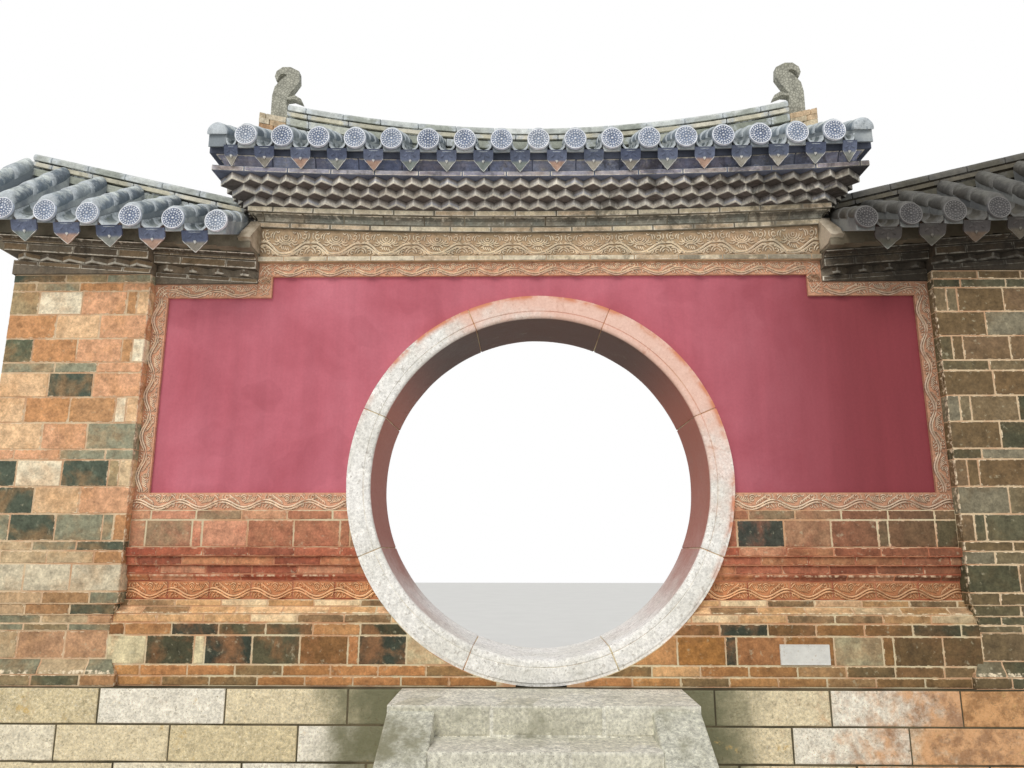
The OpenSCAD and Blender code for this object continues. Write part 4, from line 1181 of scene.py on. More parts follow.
# %% [markdown]
# ## Carved brick
# The border, the waist and the frieze are carved in brick: tiles with a winding stem, round bosses and
# sprays of leaves. The carver leaves the strokes standing and cuts the ground away. Here each stroke
# is a curve with a four-sided section, thin at its ends, which is turned into a mesh and joined to
# its tile. Two patterns are drawn, and every run of carving is laid from them.
# %% Drawing strokes
def through(points, steps=3):
    """A smooth line through a few points."""
    line = [points[0]] + list(points) + [points[-1]]
    made = []
    for a, b, c, d in zip(line, line[1:], line[2:], line[3:]):
        for k in range(steps):
            t = k / steps
            made.append(tuple(0.5 * (2 * b[i] + (c[i] - a[i]) * t
                                     + (2 * a[i] - 5 * b[i] + 4 * c[i] - d[i]) * t * t
                                     + (3 * b[i] - a[i] - 3 * c[i] + d[i]) * t ** 3) for i in (0, 1)))
    return made + [points[-1]]


def curl(cx, cz, r0, r1, a0, a1, steps=7, flat=1.0):
    """An arc that may tighten into a scroll, between two angles in degrees."""
    line = []
    for k in range(steps + 1):
        share = k / steps
        r, a = r0 + (r1 - r0) * share, math.radians(a0 + (a1 - a0) * share)
        line.append((cx + r * math.cos(a), cz + flat * r * math.sin(a)))
    return line


def leaves(start, end, step, count, bow=4.0):
    """A spray: equal strokes side by side, each a little bowed."""
    made = []
    for k in range(count):
        a = (start[0] + step[0] * k, start[1] + step[1] * k)
        b = (end[0] + step[0] * k, end[1] + step[1] * k)
        length = math.hypot(b[0] - a[0], b[1] - a[1])
        middle = ((a[0] + b[0]) / 2 + bow * (b[1] - a[1]) / length,
                  (a[1] + b[1]) / 2 - bow * (b[0] - a[0]) / length)
        made.append(through([a, middle, b], 2))
    return made


def carved_blank(name, width, height, strokes, half=4.6, corner_cut=0.0):
    """A tile with raised strokes, given in millimetres from its middle. The first two are broad stems."""
    thick = 0.03
    new_block(name, (width, thick, height), (0, thick / 2, 0))
    if corner_cut:
        pick("EDGE", lambda middle, edge: middle.x < -width / 2 + 0.001 and middle.z > height / 2 - 0.001)
        bpy.ops.mesh.bevel(offset=corner_cut, segments=5)
    pick_rim()
    bpy.ops.mesh.bevel(offset=0.0012, segments=1)
    slab = leave_edit()
    plain = len(slab.data.vertices)
    curve = bpy.data.curves.new(name, "CURVE")
    curve.dimensions, curve.twist_mode = "3D", "Z_UP"
    curve.bevel_depth, curve.bevel_resolution, curve.use_fill_caps = 0.001, 0, True
    for number, line in enumerate(strokes):
        broad = 1.5 if number < 2 else 1.0
        spline = curve.splines.new("POLY")
        spline.points.add(len(line) - 1)
        for k, (spot, (x, z)) in enumerate(zip(spline.points, line)):
            spot.co = (x / 1000, z / 1000, 0, 1)
            spot.radius = broad * half * (0.45 if k in (0, len(line) - 1) else 1.0)
    link(name + "_ribs", curve)
    bpy.ops.object.convert(target="MESH")
    ribs = bpy.context.object
    ribs.rotation_euler, ribs.scale = (math.radians(90), 0, 0), (1, 1, 2)
    apply_place()
    tile = Blank(join([slab, ribs]))
    tile.relief = 0.2 + 0.8 * np.clip(-tile.points[:, 1] / (0.002 * half), 0, 1)
    tile.relief[:plain] = 0
    return tile


# %% The two patterns and the corner
def vine_strokes():
    """Border and waist: a boss over a winding stem, with sprays on both sides of it."""
    stem = [(x, -12 - 22 * math.cos(2 * math.pi * (x + 24) / 275)) for x in range(-137, 138, 23)]
    stem.append((137, 6))
    lines = [stem, [(x, z - 15) for x, z in stem], curl(-20, 14, 13, 13, 0, 360, 8),
             curl(-20, 14, 4, 4, 0, 360, 5), curl(-20, 14, 24, 24, 20, 150, 5)]
    lines += leaves((-108, 34), (-76, -4), (13, -2), 5)
    lines += leaves((6, -20), (26, 8), (13, 8), 5, -4.0)
    lines += [curl(24, 42, 13, 13, 190, 350, 4), curl(-60, 42, 12, 12, 200, 350, 4),
              through([(4, 40), (8, 30), (2, 22)], 1), through([(-2, -34), (12, -40), (30, -38)], 1),
              through([(30, -30), (46, -22), (58, -10)], 1), through([(124, -14), (134, -24), (130, -36)], 1)]
    lines += [curl(88, 27, 15, 6, 200, 560, 8), through([(60, 40), (70, 24), (66, 12)], 2),
              through([(108, 40), (118, 30), (116, 16)], 2), curl(76, -28, 14, 5, 120, -200, 7),
              through([(98, -16), (112, -26), (118, -40)], 2),
              through([(92, -30), (100, -38), (104, -44)], 2),
              curl(-120, -24, 13, 5, 20, 330, 7), through([(-98, -30), (-84, -38), (-74, -34)], 2),
              through([(-134, 12), (-118, 30), (-104, 38)], 2),
              through([(-136, 30), (-128, 40), (-120, 42)], 1)]
    return lines


def flower_strokes():
    """Frieze: a flower that hangs from the top over a double stem, and half flowers at the joints."""
    def stem(z0, dip):
        return through([(-168, z0), (-130, z0 + 4), (-88, z0 - 22), (-48, z0 - dip + 6), (-8, z0 - dip),
                        (42, z0 - dip + 10), (92, z0 - 20), (132, z0 + 2), (168, z0)], 2)
    lines = [stem(2, 62), stem(-20, 56), curl(0, 36, 10, 10, 0, 360, 7),
             curl(0, 36, 26, 26, 160, 380, 7, 0.9), curl(0, 40, 44, 44, 178, 362, 8, 0.85),
             curl(0, 46, 66, 66, 190, 350, 8, 0.8)]
    for side in (-1, 1):
        lines += [[(side * x, z) for x, z in line] for line in (
            curl(126, 44, 20, 7, 200, 560, 8), through([(86, 62), (100, 46), (98, 28)], 2),
            through([(72, 66), (84, 44), (82, 22)], 2), through([(152, 66), (158, 46), (150, 24)], 2),
            curl(168, -60, 20, 20, 90, 180, 4), curl(168, -60, 36, 36, 90, 180, 5),
            curl(112, -56, 16, 5, 30, 330, 7), through([(132, -32), (118, -28), (96, -36)], 2),
            through([(92, -46), (84, -60), (70, -70)], 2), through([(110, -76), (88, -72), (64, -60)], 2),
            through([(36, 22), (56, 6), (78, 12)], 2), through([(40, 4), (60, -10), (88, -2)], 2),
            through([(10, -2), (26, -10), (44, -26)], 2), curl(54, -58, 14, 5, 60, -240, 7),
            through([(12, -70), (26, -76), (40, -72)], 1), through([(140, 22), (150, 12), (164, 10)], 1),
            through([(118, 74), (132, 68), (142, 72)], 1), curl(56, 72, 12, 12, 190, 340, 4),
            through([(104, 10), (120, 12), (134, 24)], 1))]
    lines += leaves((-30, -14), (-18, -38), (15, -3), 4, 2.0)
    return lines


def corner_strokes():
    """Corner tile: a leaf along the mitre, its veins on both sides. Its inner corner is at +X, -Z."""
    lines = [[(44, -44), (16, -16), (-14, 14)], curl(46, -46, 34, 34, 96, 174, 5),
             curl(46, -46, 58, 58, 94, 176, 6), curl(46, -46, 82, 82, 96, 174, 7)]
    lines += [curl(-18, 18, 10, 4, 0, 300, 6), through([(30, -6), (14, 8), (4, 26)], 2),
              through([(6, -30), (-8, -14), (-26, -4)], 2)]
    return lines


VINE = carved_blank("vine", 0.268, 0.09, vine_strokes())
FLOWER = carved_blank("flower", 0.33, 0.155, flower_strokes(), 5.6)
CORNER_TILE = carved_blank("corner", 0.091, 0.091, corner_strokes(), 4.0, corner_cut=0.045)
print("carved blanks:", len(VINE.faces), len(FLOWER.faces), len(CORNER_TILE.faces), "faces")


# %% [markdown]
# ## Runs of carving
# A run is divided into whole tiles, and each is stretched a little to fit. Where a run meets the ring,
# its first tile is narrowed height by height to follow the curve. The frieze grows taller towards its
# ends, as the cornice over it rises.
# %% Laying the carving
def carved_run(laying, blank, u0, u1, z0, z1, face, turn, upright=False, to_ring=False, flip=False):
    """Whole tiles between two places. Upright runs turn the tile on end."""
    joint = 0.0004
    wide, tall = blank.high[0] - blank.low[0], blank.high[2] - blank.low[2]
    long_side, short_side = (z1 - z0, u1 - u0) if upright else (u1 - u0, z1 - z0)
    count = max(1, round(long_side / wide))
    step = long_side / count
    side = 1 if u0 > 0 else -1
    for k in range(count):
        points = blank.points.copy()
        points[:, 0] *= (-1 if flip else 1) * (step - joint) / wide
        points[:, 2] *= (short_side - joint) / tall
        if upright:
            points[:, 0], points[:, 2] = points[:, 2].copy(), -points[:, 0].copy()
            points += ((u0 + u1) / 2, 0, z0 + (k + 0.5) * step)
        else:
            points += (u0 + (k + 0.5) * step, 0, (z0 + z1) / 2)
        if to_ring:
            near = u0 if side > 0 else -u1
            reach = np.sqrt(RING_OUT ** 2 - (points[:, 2] - RING_Z) ** 2) + 0.004
            share = np.clip(1 - (side * points[:, 0] - near) / step, 0, 1)
            points[:, 0] += side * share * (reach - near)
        points = faced(points, face, turn)
        if blank is FLOWER:
            points[:, 2] += centre_rise(points[:, 0]) * (points[:, 2] - z0) / (z1 - z0)
        laying.add(blank, points, flip=flip)


def corner_tile(laying, x, z, face, turn, quarter):
    """Corner tile after a number of quarter turns. At none its rounded corner is up and to the left."""
    angle = -math.pi / 2 * quarter
    c, s = math.cos(angle), math.sin(angle)
    points = CORNER_TILE.points.copy()
    points[:, 0], points[:, 2] = (c * points[:, 0] - s * points[:, 2] + x,
                                  s * points[:, 0] + c * points[:, 2] + z)
    laying.add(CORNER_TILE, faced(points, face, turn))


def centre_rise(x):
    """How much the cornice rises at x, over its level in the middle of the wall."""
    return 0.062 * (x / BED_HALF) ** 2


BORDER_FACE = 0.2505
BORDER_LOW, PANEL_LOW, SHOULDER = 1.6258, 1.7328, 3.0113
SHOULDER_TOP, PANEL_TOP, HEAD_TOP = 3.1043, 3.1573, 3.2503
WAIST_LOW, WAIST_TOP, WAIST_FACE = 1.0893, 1.1993, 0.2255
FRIEZE_HALF, FRIEZE_LOW, FRIEZE_TOP = 0.26, 3.2883, 3.4483


def block_sides(out):
    """Turn, half length and face of the four sides of the centre block, at a distance out from it."""
    for turn in range(4):
        half, face = (FRIEZE_HALF, BLOCK_HALF) if turn % 2 else (BLOCK_HALF, FRIEZE_HALF)
        yield turn, half + out, face + out


def model_border():
    laying = Laying(61)
    for turn in (0, 2):
        for side in (-1, 1):
            def run(u0, u1, z0, z1, upright=False, to_ring=False):
                a, b = (u0, u1) if side > 0 else (-u1, -u0)
                carved_run(laying, VINE, a, b, z0, z1, BORDER_FACE, turn, upright, to_ring, flip=side < 0)
            run(1.19, PIER_IN, BORDER_LOW, PANEL_LOW, to_ring=True)
            run(PANEL_HALF, PIER_IN, PANEL_LOW, SHOULDER, upright=True)
            run(BLOCK_HALF, PANEL_HALF, SHOULDER, SHOULDER_TOP)
            run(HEAD_HALF, BLOCK_HALF, SHOULDER_TOP, PANEL_TOP, upright=True)
            for x, z, left_quarter, right_quarter in (
                    ((PANEL_HALF + PIER_IN) / 2, (SHOULDER + SHOULDER_TOP) / 2, 0, 1),
                    ((HEAD_HALF + BLOCK_HALF) / 2, (SHOULDER + SHOULDER_TOP) / 2, 2, 3),
                    ((HEAD_HALF + BLOCK_HALF) / 2, (PANEL_TOP + HEAD_TOP) / 2, 0, 1)):
                quarter = left_quarter if side < 0 else right_quarter
                corner_tile(laying, side * x, z, BORDER_FACE, turn, quarter)
        carved_run(laying, VINE, -HEAD_HALF, HEAD_HALF, PANEL_TOP, HEAD_TOP, BORDER_FACE, turn)
    laying.make("border_tiles", border_carving, "carving")


def model_waist_and_frieze():
    waist = Laying(62)
    for turn in (0, 2):
        for a, b, flip in ((1.0, PIER_IN, False), (-PIER_IN, -1.0, True)):
            carved_run(waist, VINE, a, b, WAIST_LOW, WAIST_TOP, WAIST_FACE, turn, to_ring=True, flip=flip)
    waist.make("waist_tiles", waist_carving, "carving")
    frieze = Laying(63)
    for turn, half, face in block_sides(0):
        carved_run(frieze, FLOWER, -half, half, FRIEZE_LOW, FRIEZE_TOP, face + 0.0005, turn)
    frieze.make("frieze_tiles", frieze_carving, "carving")


model_border()
model_waist_and_frieze()


# %% [markdown]
# ## The cornice
# The cornice steps out course by course: a ledge under the frieze, a fillet, a hollow band, a second
# fillet, three courses of bricks laid cornerwise, a course of slabs and a hollow eave course. All of
# them but the ledge rise a little towards their ends with the curve of the roof. At the corners of the
# block the bricks are mitred.
# %% Courses that wrap round the centre block
def round_block(laying, blanks, z0, z1, out, length, shift, rise=centre_rise):
    """One course round the four faces of the centre block, mitred at the corners."""
    for turn, half, face in block_sides(out):
        half, face = half + PROUD, face + PROUD
        places = bond(-half, half, [length], shift)
        for k, (u0, u1) in enumerate(places):
            corner = (int(k == 0), int(k == len(places) - 1))
            laying.lay(laying.dice.choice(blanks), u0 - 0.0035 * corner[0], u1 + 0.0035 * corner[1], z0, z1,
                       face, turn, rise=rise, mitre=corner)


def wrapped(name, finish, seed, *courses):
    """One piece of courses: blanks, low, high, distance out, length of a brick, shift of its joints."""
    laying = Laying(seed)
    for course in courses:
        round_block(laying, *course)
    laying.make(name, finish, "cornice")


def hollow_points(out0, z0, out1, z1):
    """Section of a hollow moulding, for moulding_blank."""
    back, steps = 0.09, 5
    angles = [math.pi / 2 * i / steps for i in range(steps + 1)]
    line = [(out1 - (out0 + (out1 - out0) * (1 - math.cos(a))), z0 + (z1 - z0) * math.sin(a)) for a in angles]
    return [(back, z0)] + line + [(back, z1)]


def tooth_blank(side, height, seed):
    """A brick turned cornerwise, its corner towards -Y, its middle at the origin. The lower rim of its
    face is cut off as a band of its own, which is painted pale as a painted highlight on its chamfer;
    the front arris is painted paler too, as a painted highlight."""
    round_by = 0.003
    new_block("tooth", (side, side, height), (0, 0, 0))
    bpy.ops.object.mode_set(mode="EDIT")
    pick_all()
    bpy.ops.transform.rotate(value=math.radians(45), orient_axis="Z", center_override=(0, 0, 0))
    bpy.ops.mesh.bevel(offset=round_by, segments=1)
    cut_across(Z_AXIS, [level - height / 2 for level in (0.014, 0.018)])
    cut_across(X_AXIS, (-0.008, -0.005, 0.005, 0.008))
    pick_all()
    wander(0.0009, seed)

    # Painted highlight: the band over the lower chamfer, and the front arris at 0.62.
    def rim(point):
        up = point[2] + height / 2
        return float(round_by - 0.002 < up < 0.0155) or 0.62 * float(abs(point[0]) < 0.006 and point[1] < 0)
    made = Blank(leave_edit(), edge=rim)
    # relief is 1 at the foot and 0 at the top, where the finish paints shade
    made.relief = 1 - (made.points[:, 2] + height / 2) / height
    return made


# heights of the courses, and how far they stand out
COVE_LOW, COVE_TOP, CAP_TOP = 3.4873, 3.5353, 3.5773
TEETH_TOP, SLAB_TOP, EAVE_TOP = 3.7273, 3.7653, 3.8523
TEETH_OUT, TEETH_STEP, TOOTH_HEIGHT = 0.072, 0.058, 0.05
SLAB_OUT, EAVE_OUT = 0.26, 0.245


def model_cornice():
    wrapped("frieze_ledge", ledge_brick, 31, (BRICKS, HEAD_TOP, FRIEZE_LOW, 0.02, 0.29, 0.1, None))
    cove = [moulding_blank(hollow_points(0.02, 0.0035, 0.065, 0.0445))]
    wrapped("cornice_bands", cornice_brick, 32, (cove, COVE_LOW, None, 0.065, 0.269, 0.18))
    wrapped("cornice_fillets", ledge_brick, 37, (BRICKS, FRIEZE_TOP, COVE_LOW, 0.02, 0.269, 0.05),
            (BRICKS, COVE_TOP, CAP_TOP, 0.075, 0.269, 0.1))
    teeth = [tooth_blank(0.0865, TOOTH_HEIGHT - 0.003, seed) for seed in range(3)]
    for row in range(3):
        course = Laying(33 + row)
        for turn, half, face in block_sides(TEETH_OUT + TEETH_STEP * row):
            number = (6 if turn % 2 else 33) + row
            step = 2 * half / number
            for k in range(number):
                u = -half + (k + 0.5) * step
                spin = Matrix.Rotation(math.pi / 2 * turn, 4, "Z")
                place = spin @ Matrix.Translation((u, -face, CAP_TOP + (row + 0.5) * TOOTH_HEIGHT))
                wobble = Matrix.Rotation(course.dice.uniform(-0.03, 0.03), 4, "Z")
                course.copy(course.dice.choice(teeth), place @ wobble, rise=centre_rise)
        course.make("tooth_course_%d" % (row + 1), tooth_brick, "cornice")
    wrapped("drip_slabs", slab_brick, 38, (BRICKS, TEETH_TOP, SLAB_TOP, SLAB_OUT, 0.283, 0.07))
    scoop = [moulding_blank(hollow_points(0.2, 0.0035, EAVE_OUT, EAVE_TOP - SLAB_TOP - 0.0035))]
    wrapped("eave_bricks", eave_brick, 36, (scoop, SLAB_TOP, None, EAVE_OUT, 0.283, 0.2))


model_cornice()


# %% [markdown]
# ## The side cornices
# Over each shoulder of the panel, and again over each pier, a lower cornice carries the side roof. It
# climbs gently outwards, so its courses are laid level and then raised by their distance from the
# centre block.
# %% Side cornice courses
def side_rise(x):
    return 0.07 * (np.abs(x) - BLOCK_HALF)


SIDE_COURSES = [
    # low, high, distance out, length of a brick, moulded
    (3.1043, 3.1383, 0.015, 0.283, False), (3.1863, 3.2433, 0.062, 0.3, False),
    (3.2433, 3.2563, 0.075, 0.33, False), (3.2563, 3.2803, 0.11, 0.283, True)]
SIDE_TEETH, SIDE_TOOTH_PITCH = 3.1623, 0.155


def model_side_cornice(side):
    course = Laying(41 + side)
    tooth = [tooth_blank(0.0745, 0.042, seed + 5) for seed in range(2)]
    line = moulding_blank(ogee_points(0.075, 0.0035, 0.11, 0.0205, 0.08))
    for x0, x1, half, end in ((BLOCK_HALF + 0.001, PIER_IN - 0.001, 0.25, 0), (PIER_IN, PIER_OUT, 0.32, 1)):
        for z0, z1, out, length, moulded in SIDE_COURSES:
            reach = half + out + PROUD
            runs = [(turn, x0, x1 + end * (out + PROUD), reach) for turn in (0, 2)]
            if end:
                runs.append((1 if side > 0 else 3, -reach, reach, x1 + out + PROUD))
            for turn, start, stop, face in runs:
                places = bond(start, stop, [length], 0.1)
                for k, (u0, u1) in enumerate(places):
                    first, last = int(k == 0 and turn % 2), int(end and k == len(places) - 1)
                    if turn % 2 == 0 and side * (1 - turn) < 0:
                        u0, u1, first, last = -u1, -u0, last, first
                    course.lay(line if moulded else course.dice.choice(BRICKS), u0, u1, z0,
                               None if moulded else z1, face, turn, rise=side_rise, mitre=(first, last),
                               joint=0.004)
        # Grey fired tiles. Lichen whitens their tops, moss grows in the channels, and the discs that close
        # the rows are blue-grey. A part with tips changes its colour by relief: the field of a disc, and the
        # point of a pendant, whose dark blue-grey top is painted shade over its pale point.
        number = round((x1 - x0) / SIDE_TOOTH_PITCH)
        step = (x1 - x0) / number
        spots = [(turn, (1 - turn) * side * (x0 + (k + 0.5) * step), half)
                 for turn in (0, 2) for k in range(number)]
        if end:
            spots += [(side, -0.24 + 0.16 * k, x1) for k in range(4)]
        for turn, u, face in spots:
            place = Matrix.Rotation(math.pi / 2 * turn, 4, "Z") @ Matrix.Translation((u, -face, SIDE_TEETH))
            course.copy(course.dice.choice(tooth), place @ Matrix.Diagonal((1.45, 1, 1, 1)), rise=side_rise)
    course.make("side_cornice_bricks_%s" % ("right" if side > 0 else "left"), side_brick, "cornice")


for side in (-1, 1):
    model_side_cornice(side)


# %% [markdown]
# ## Roof tiles
# The roof is laid as such roofs are: channels of curved tiles, and over the joints between them rows
# of round tiles bedded in mortar. Each round row ends in a disc and each channel in a hanging pendant.
# One unit of each kind is modelled and copied up the slope, which is flatter in the middle of the
# wall than at its ends.
# %% The planes of the roofs
def turned(place, back):
    """A place on the front as it is, or half a turn round for the back."""
    return Matrix.Rotation(math.pi, 4, "Z") @ place if back else place


class Roof:
    """Heights of a roof bed, as the frame has them: at the tile ends and at the ridge line."""

    def __init__(self, end, plane, lift_low, peak, lift_high, curved):
        self.end, self.plane, self.peak = end, plane, peak
        self.lift_low, self.lift_high, self.curved = lift_low, lift_high, curved

    def share(self, x):
        return (x / BED_HALF) ** 2 if self.curved else abs(x) - BLOCK_HALF

    def foot(self, x):
        return self.plane + self.lift_low * self.share(x)

    def top(self, x):
        return self.peak + self.lift_high * self.share(x)

    def height(self, x, y):
        return self.top(x) + (self.foot(x) - self.top(x)) * abs(y) / self.end

    def slope(self, x):
        return math.atan2(self.top(x) - self.foot(x), self.end)

    def frame_at(self, x, y, back, over=0.0, tilt=0.0):
        """Matrix of a unit on the slope. Its X runs across and its Y up the slope, measured level, so that
        its ends stay upright as cut tiles do. Its Z is the height over the bed."""
        rise = math.tan(self.slope(x))
        shear = Matrix.Identity(4)
        shear[2][1], shear[2][2] = rise + tilt, math.sqrt(1 + rise * rise)
        place = Matrix.Translation((-x if back else x, -abs(y), self.height(x, y))) @ shear
        return turned(place @ Matrix.Translation((0, 0, over)), back)


CENTRE = Roof(0.59, 3.8596, 0.062, 4.1346, 0.062, True)
RIDGE_LINE = Roof(0.59, 3.8596, 0.062, 4.1346, 0.309, True)
SIDE = Roof(0.63, 3.2856, 0.07, 3.5176, 0.27, False)
CENTRE_PITCH = 0.235375
CENTRE_ROWS = [i * CENTRE_PITCH for i in range(-8, 9)]
SIDE_ROWS = [2.01 + 0.271667 * i for i in range(7)]
RIDGE_HALF, RIDGE_EDGE = 0.09, 0.0905  # half width of a ridge, and where the rows stop at it
ROW_LIFT = 0.09  # height of the bedding, on which a row of round tiles lies
UNIT = 0.2  # length of the modelled tiles, before they are fitted to the slope
print("rows of round tiles:", len(CENTRE_ROWS), "over the block and", len(SIDE_ROWS), "on each side roof")


# %% [markdown]
# ## A round tile, its bedding and its disc
# The round tile is half a tapering drum, so each one laps the next below. The disc has a raised rim
# with beads, and rings of smaller beads in its field.
# %% Round tile units
def round_tile_blank(seed):
    new_drum(24, 0.064, UNIT, (0, UNIT / 2, 0))
    apply_place()
    bpy.ops.object.mode_set(mode="EDIT")
    pick_all()
    bpy.ops.mesh.bisect(plane_co=(0, 0, -0.012), plane_no=Z_AXIS, clear_inner=True, use_fill=True)
    pick_rim()
    bpy.ops.mesh.bevel(offset=0.004, segments=1)
    pick("VERT", lambda place, vert: place.y > UNIT - 0.001)
    bpy.ops.transform.resize(value=(0.9, 1, 0.9), center_override=(0, UNIT, 0))
    cut_across(Y_AXIS, [UNIT * 0.45])
    pick_all()
    wander(0.0012, seed)
    return Blank(leave_edit(), edge=lambda p: 1.0 if p[1] < 0.006 else 0.0)


def disc_blank():
    """End disc, facing -Y, its middle at the origin of its back."""
    new_drum(32, 0.071, 0.02, (0, 0, 0))
    apply_place()
    pick_rim(-0.009)
    bpy.ops.mesh.bevel(offset=0.004, segments=2)
    pick("FACE", lambda middle, normal: normal.y < -0.99)
    for inwards, depth in ((0.008, 0.005), (0.012, 0), (0.002, -0.003), (0.004, 0.003)):
        bpy.ops.mesh.inset(thickness=inwards)
        if depth:
            bpy.ops.transform.translate(value=(0, depth, 0))
    parts = [leave_edit()]
    for count, radius, reach in ((22, 0.0052, 0.0555), (14, 0.0046, 0.0385), (8, 0.0046, 0.0225),
                                 (1, 0.008, 0.0)):
        for k in range(count):
            angle = 2 * math.pi * k / count
            middle = (reach * math.sin(angle), -0.0055, reach * math.cos(angle))
            parts.append(new_drop(6, 4, radius, middle, (1.0, 0.8, 1.0), angle))
    made = Blank(join(parts), edge=lambda p: float(p[1] < -0.0062))
    across = np.hypot(made.points[:, 0], made.points[:, 2])
    made.relief = ((across < 0.0635) & (made.points[:, 1] > -0.0062)).astype(float)
    return made


def model_round_rows(name, roof, rows, sides, cut_first, replaced):
    """Rows of round tiles with bedding and discs on both slopes of a roof."""
    tiles, beds, discs = Laying(51), Laying(52), Laying(53)
    units = [round_tile_blank(seed) for seed in range(2)]
    wide, count = 0.116, 3
    bed_unit = [brick_blank(seed + 30, UNIT, ROW_LIFT, wide, 0.002) for seed in range(2)]
    for side in sides:
        for number, row in enumerate(rows):
            x = side * row
            verge = number == len(rows) - 1 if not roof.curved else abs(row) > 2
            stop = 0.258 if cut_first and number == 0 else RIDGE_EDGE
            start = roof.end - 0.015 if verge else roof.end
            step = (start - stop) / count
            for back in (False, True):
                for k in range(count):
                    y = start - k * step
                    at = roof.frame_at(x, y, back, ROW_LIFT + 0.002, -0.012)
                    length = (step + (0.012 if k < count - 1 else 0.0)) / UNIT
                    tiles.copy(tiles.dice.choice(units), at @ Matrix.Diagonal((1, length, 1, 1)))
                    set_back = 0.0 if k else 0.02
                    bed = roof.frame_at(x, y - set_back, back, ROW_LIFT / 2) @ Matrix.Diagonal(
                        (wide / UNIT, (step - set_back) / wide, 1, 1))
                    beds.copy(beds.dice.choice(bed_unit), bed)
                if not verge:
                    at = Matrix.Translation((-x if back else x, -roof.end, roof.foot(x) + ROW_LIFT))
                    wobble = Matrix.Rotation(discs.dice.uniform(-0.2, 0.2), 4, "Y")
                    discs.copy(DISC, turned(at, back) @ wobble)
    tiles.make(name + "_round_tiles", tile_round, "roof_tile", replaced, smooth=50)
    beds.make(name + "_bedding", mortar_lime, "mortar")
    discs.make(name + "_discs", tile_disc, "roof_tile", smooth=50)


def model_bed():
    """The mortar bed under the centre tiles. It is cut into strips, whose points take the roof's curve."""
    low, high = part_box("roof_bed")
    new_block("roof_bed_mortar", (2 * BED_HALF, 2 * high[1], 0.2), (0, 0, 3.9))
    bpy.ops.object.mode_set(mode="EDIT")
    cut_across(X_AXIS, np.linspace(-2, 2, 33))
    cut_across(Y_AXIS, (-0.35, -0.2, -0.09, 0.09, 0.2, 0.35))
    bed = leave_edit()
    for vert in bed.data.vertices:
        x, y, z = vert.co
        on_top = CENTRE.height(x, max(abs(y), RIDGE_HALF))
        vert.co.z = on_top if z > 3.9 else low[2] + centre_rise(x)
    settle(bed, mortar_blue, ["roof_bed"])


DISC = disc_blank()
model_bed()
print("disc blank:", len(DISC.faces), "faces")
model_round_rows("centre", CENTRE, CENTRE_ROWS + [-2.08, 2.08], (1,), False, ["cover_tiles"])
model_round_rows("side", SIDE, SIDE_ROWS, (-1, 1), True, ["side_covers_left", "side_covers_right"])


# %% [markdown]
# ## Channels and pendants
# A channel tile is a shallow trough. Its section is drawn and extruded, and each unit lies on the one
# below it. The lowest carries a pendant with a raised rim and a small leaf, which leads the rain off
# the wall.
# %% Channel units and pendants
def channel_blank(width):
    half, rim, low, thick, steps = width / 2, 0.058, 0.013, 0.012, 8
    inner = [(half - 0.007, rim)] + [
        ((half - 0.007) * math.cos(math.pi * k / steps), rim - (rim - low) * math.sin(math.pi * k / steps))
        for k in range(1, steps)] + [(-half + 0.007, rim)]
    outer = [(-half, rim), (-half * 0.96, 0.03), (-half * 0.5, low - thick + 0.001), (0, low - thick),
             (half * 0.5, low - thick + 0.001), (half * 0.96, 0.03), (half, rim)]
    new_outline("channel", [(x, 0, z) for x, z in inner + outer])
    extrude((0, UNIT, 0))
    return Blank(leave_edit(), edge=lambda p: 1.0 if p[1] < 0.001 else (0.6 if p[2] > rim - 0.004 else 0.0))


def pendant_blank(width):
    """Pendant of a drip tile, facing -Y, its top at z = 0."""
    half, drop = width / 2 - 0.001, 0.128
    line = [(-half, 0.008), (-half, -0.36 * drop), (-0.94 * half, -0.46 * drop),
            (-0.8 * half, -0.56 * drop), (-0.62 * half, -0.64 * drop), (-0.44 * half, -0.76 * drop),
            (-0.22 * half, -0.89 * drop), (0, -drop)]
    line += [(-x, z) for x, z in line[-2::-1]]
    new_outline("pendant", [(x, 0, z) for x, z in line])
    extrude((0, 0.014, 0))
    pick("FACE", lambda middle, normal: normal.y < -0.99)
    bpy.ops.mesh.inset(thickness=0.006)
    bpy.ops.transform.translate(value=(0, 0.004, 0))
    parts = [leave_edit()]
    for x, z, size, turn in ((0, -0.42, 0.02, 0), (-0.42, -0.24, 0.013, 0.9), (0.42, -0.24, 0.013, -0.9),
                             (-0.22, -0.1, 0.009, 1.3), (0.22, -0.1, 0.009, -1.3)):
        parts.append(new_drop(8, 5, size, (x * half, 0.004, z * drop), (0.55, 0.3, 1.25), turn))
    made = Blank(join(parts), edge=lambda p: float(p[1] < 0.001 and p[2] < -0.45 * drop))
    # relief rises towards the point; above it the finish paints the pendant dark as painted shade
    made.relief = np.clip((-made.points[:, 2] / drop - 0.4) / 0.25, 0, 1)
    return made


def model_channels(name, roof, places, sides, start, replaced):
    """Channels between the rows: places are pairs of middle and width."""
    pans, drops = Laying(55), Laying(56)
    count = 4
    step = (start - RIDGE_EDGE) / count
    for side in sides:
        for middle, width in places:
            x = side * middle
            trough, pendant = channel_blank(width), pendant_blank(width + 0.022)
            for back in (False, True):
                for k in range(count):
                    at = roof.frame_at(x, start - k * step, back, 0.002, -0.03)
                    pans.copy(trough, at @ Matrix.Diagonal((1, step / UNIT, 1, 1)))
                at = Matrix.Translation((-x if back else x, -start - 0.004, roof.height(x, start) + 0.006))
                drops.copy(pendant, turned(at, back) @ Matrix.Rotation(math.radians(20), 4, "X"))
    pans.make(name + "_channels", tile_pan, "roof_tile", replaced, smooth=40)
    drops.make(name + "_pendants", tile_pendant, "roof_tile", smooth=40)


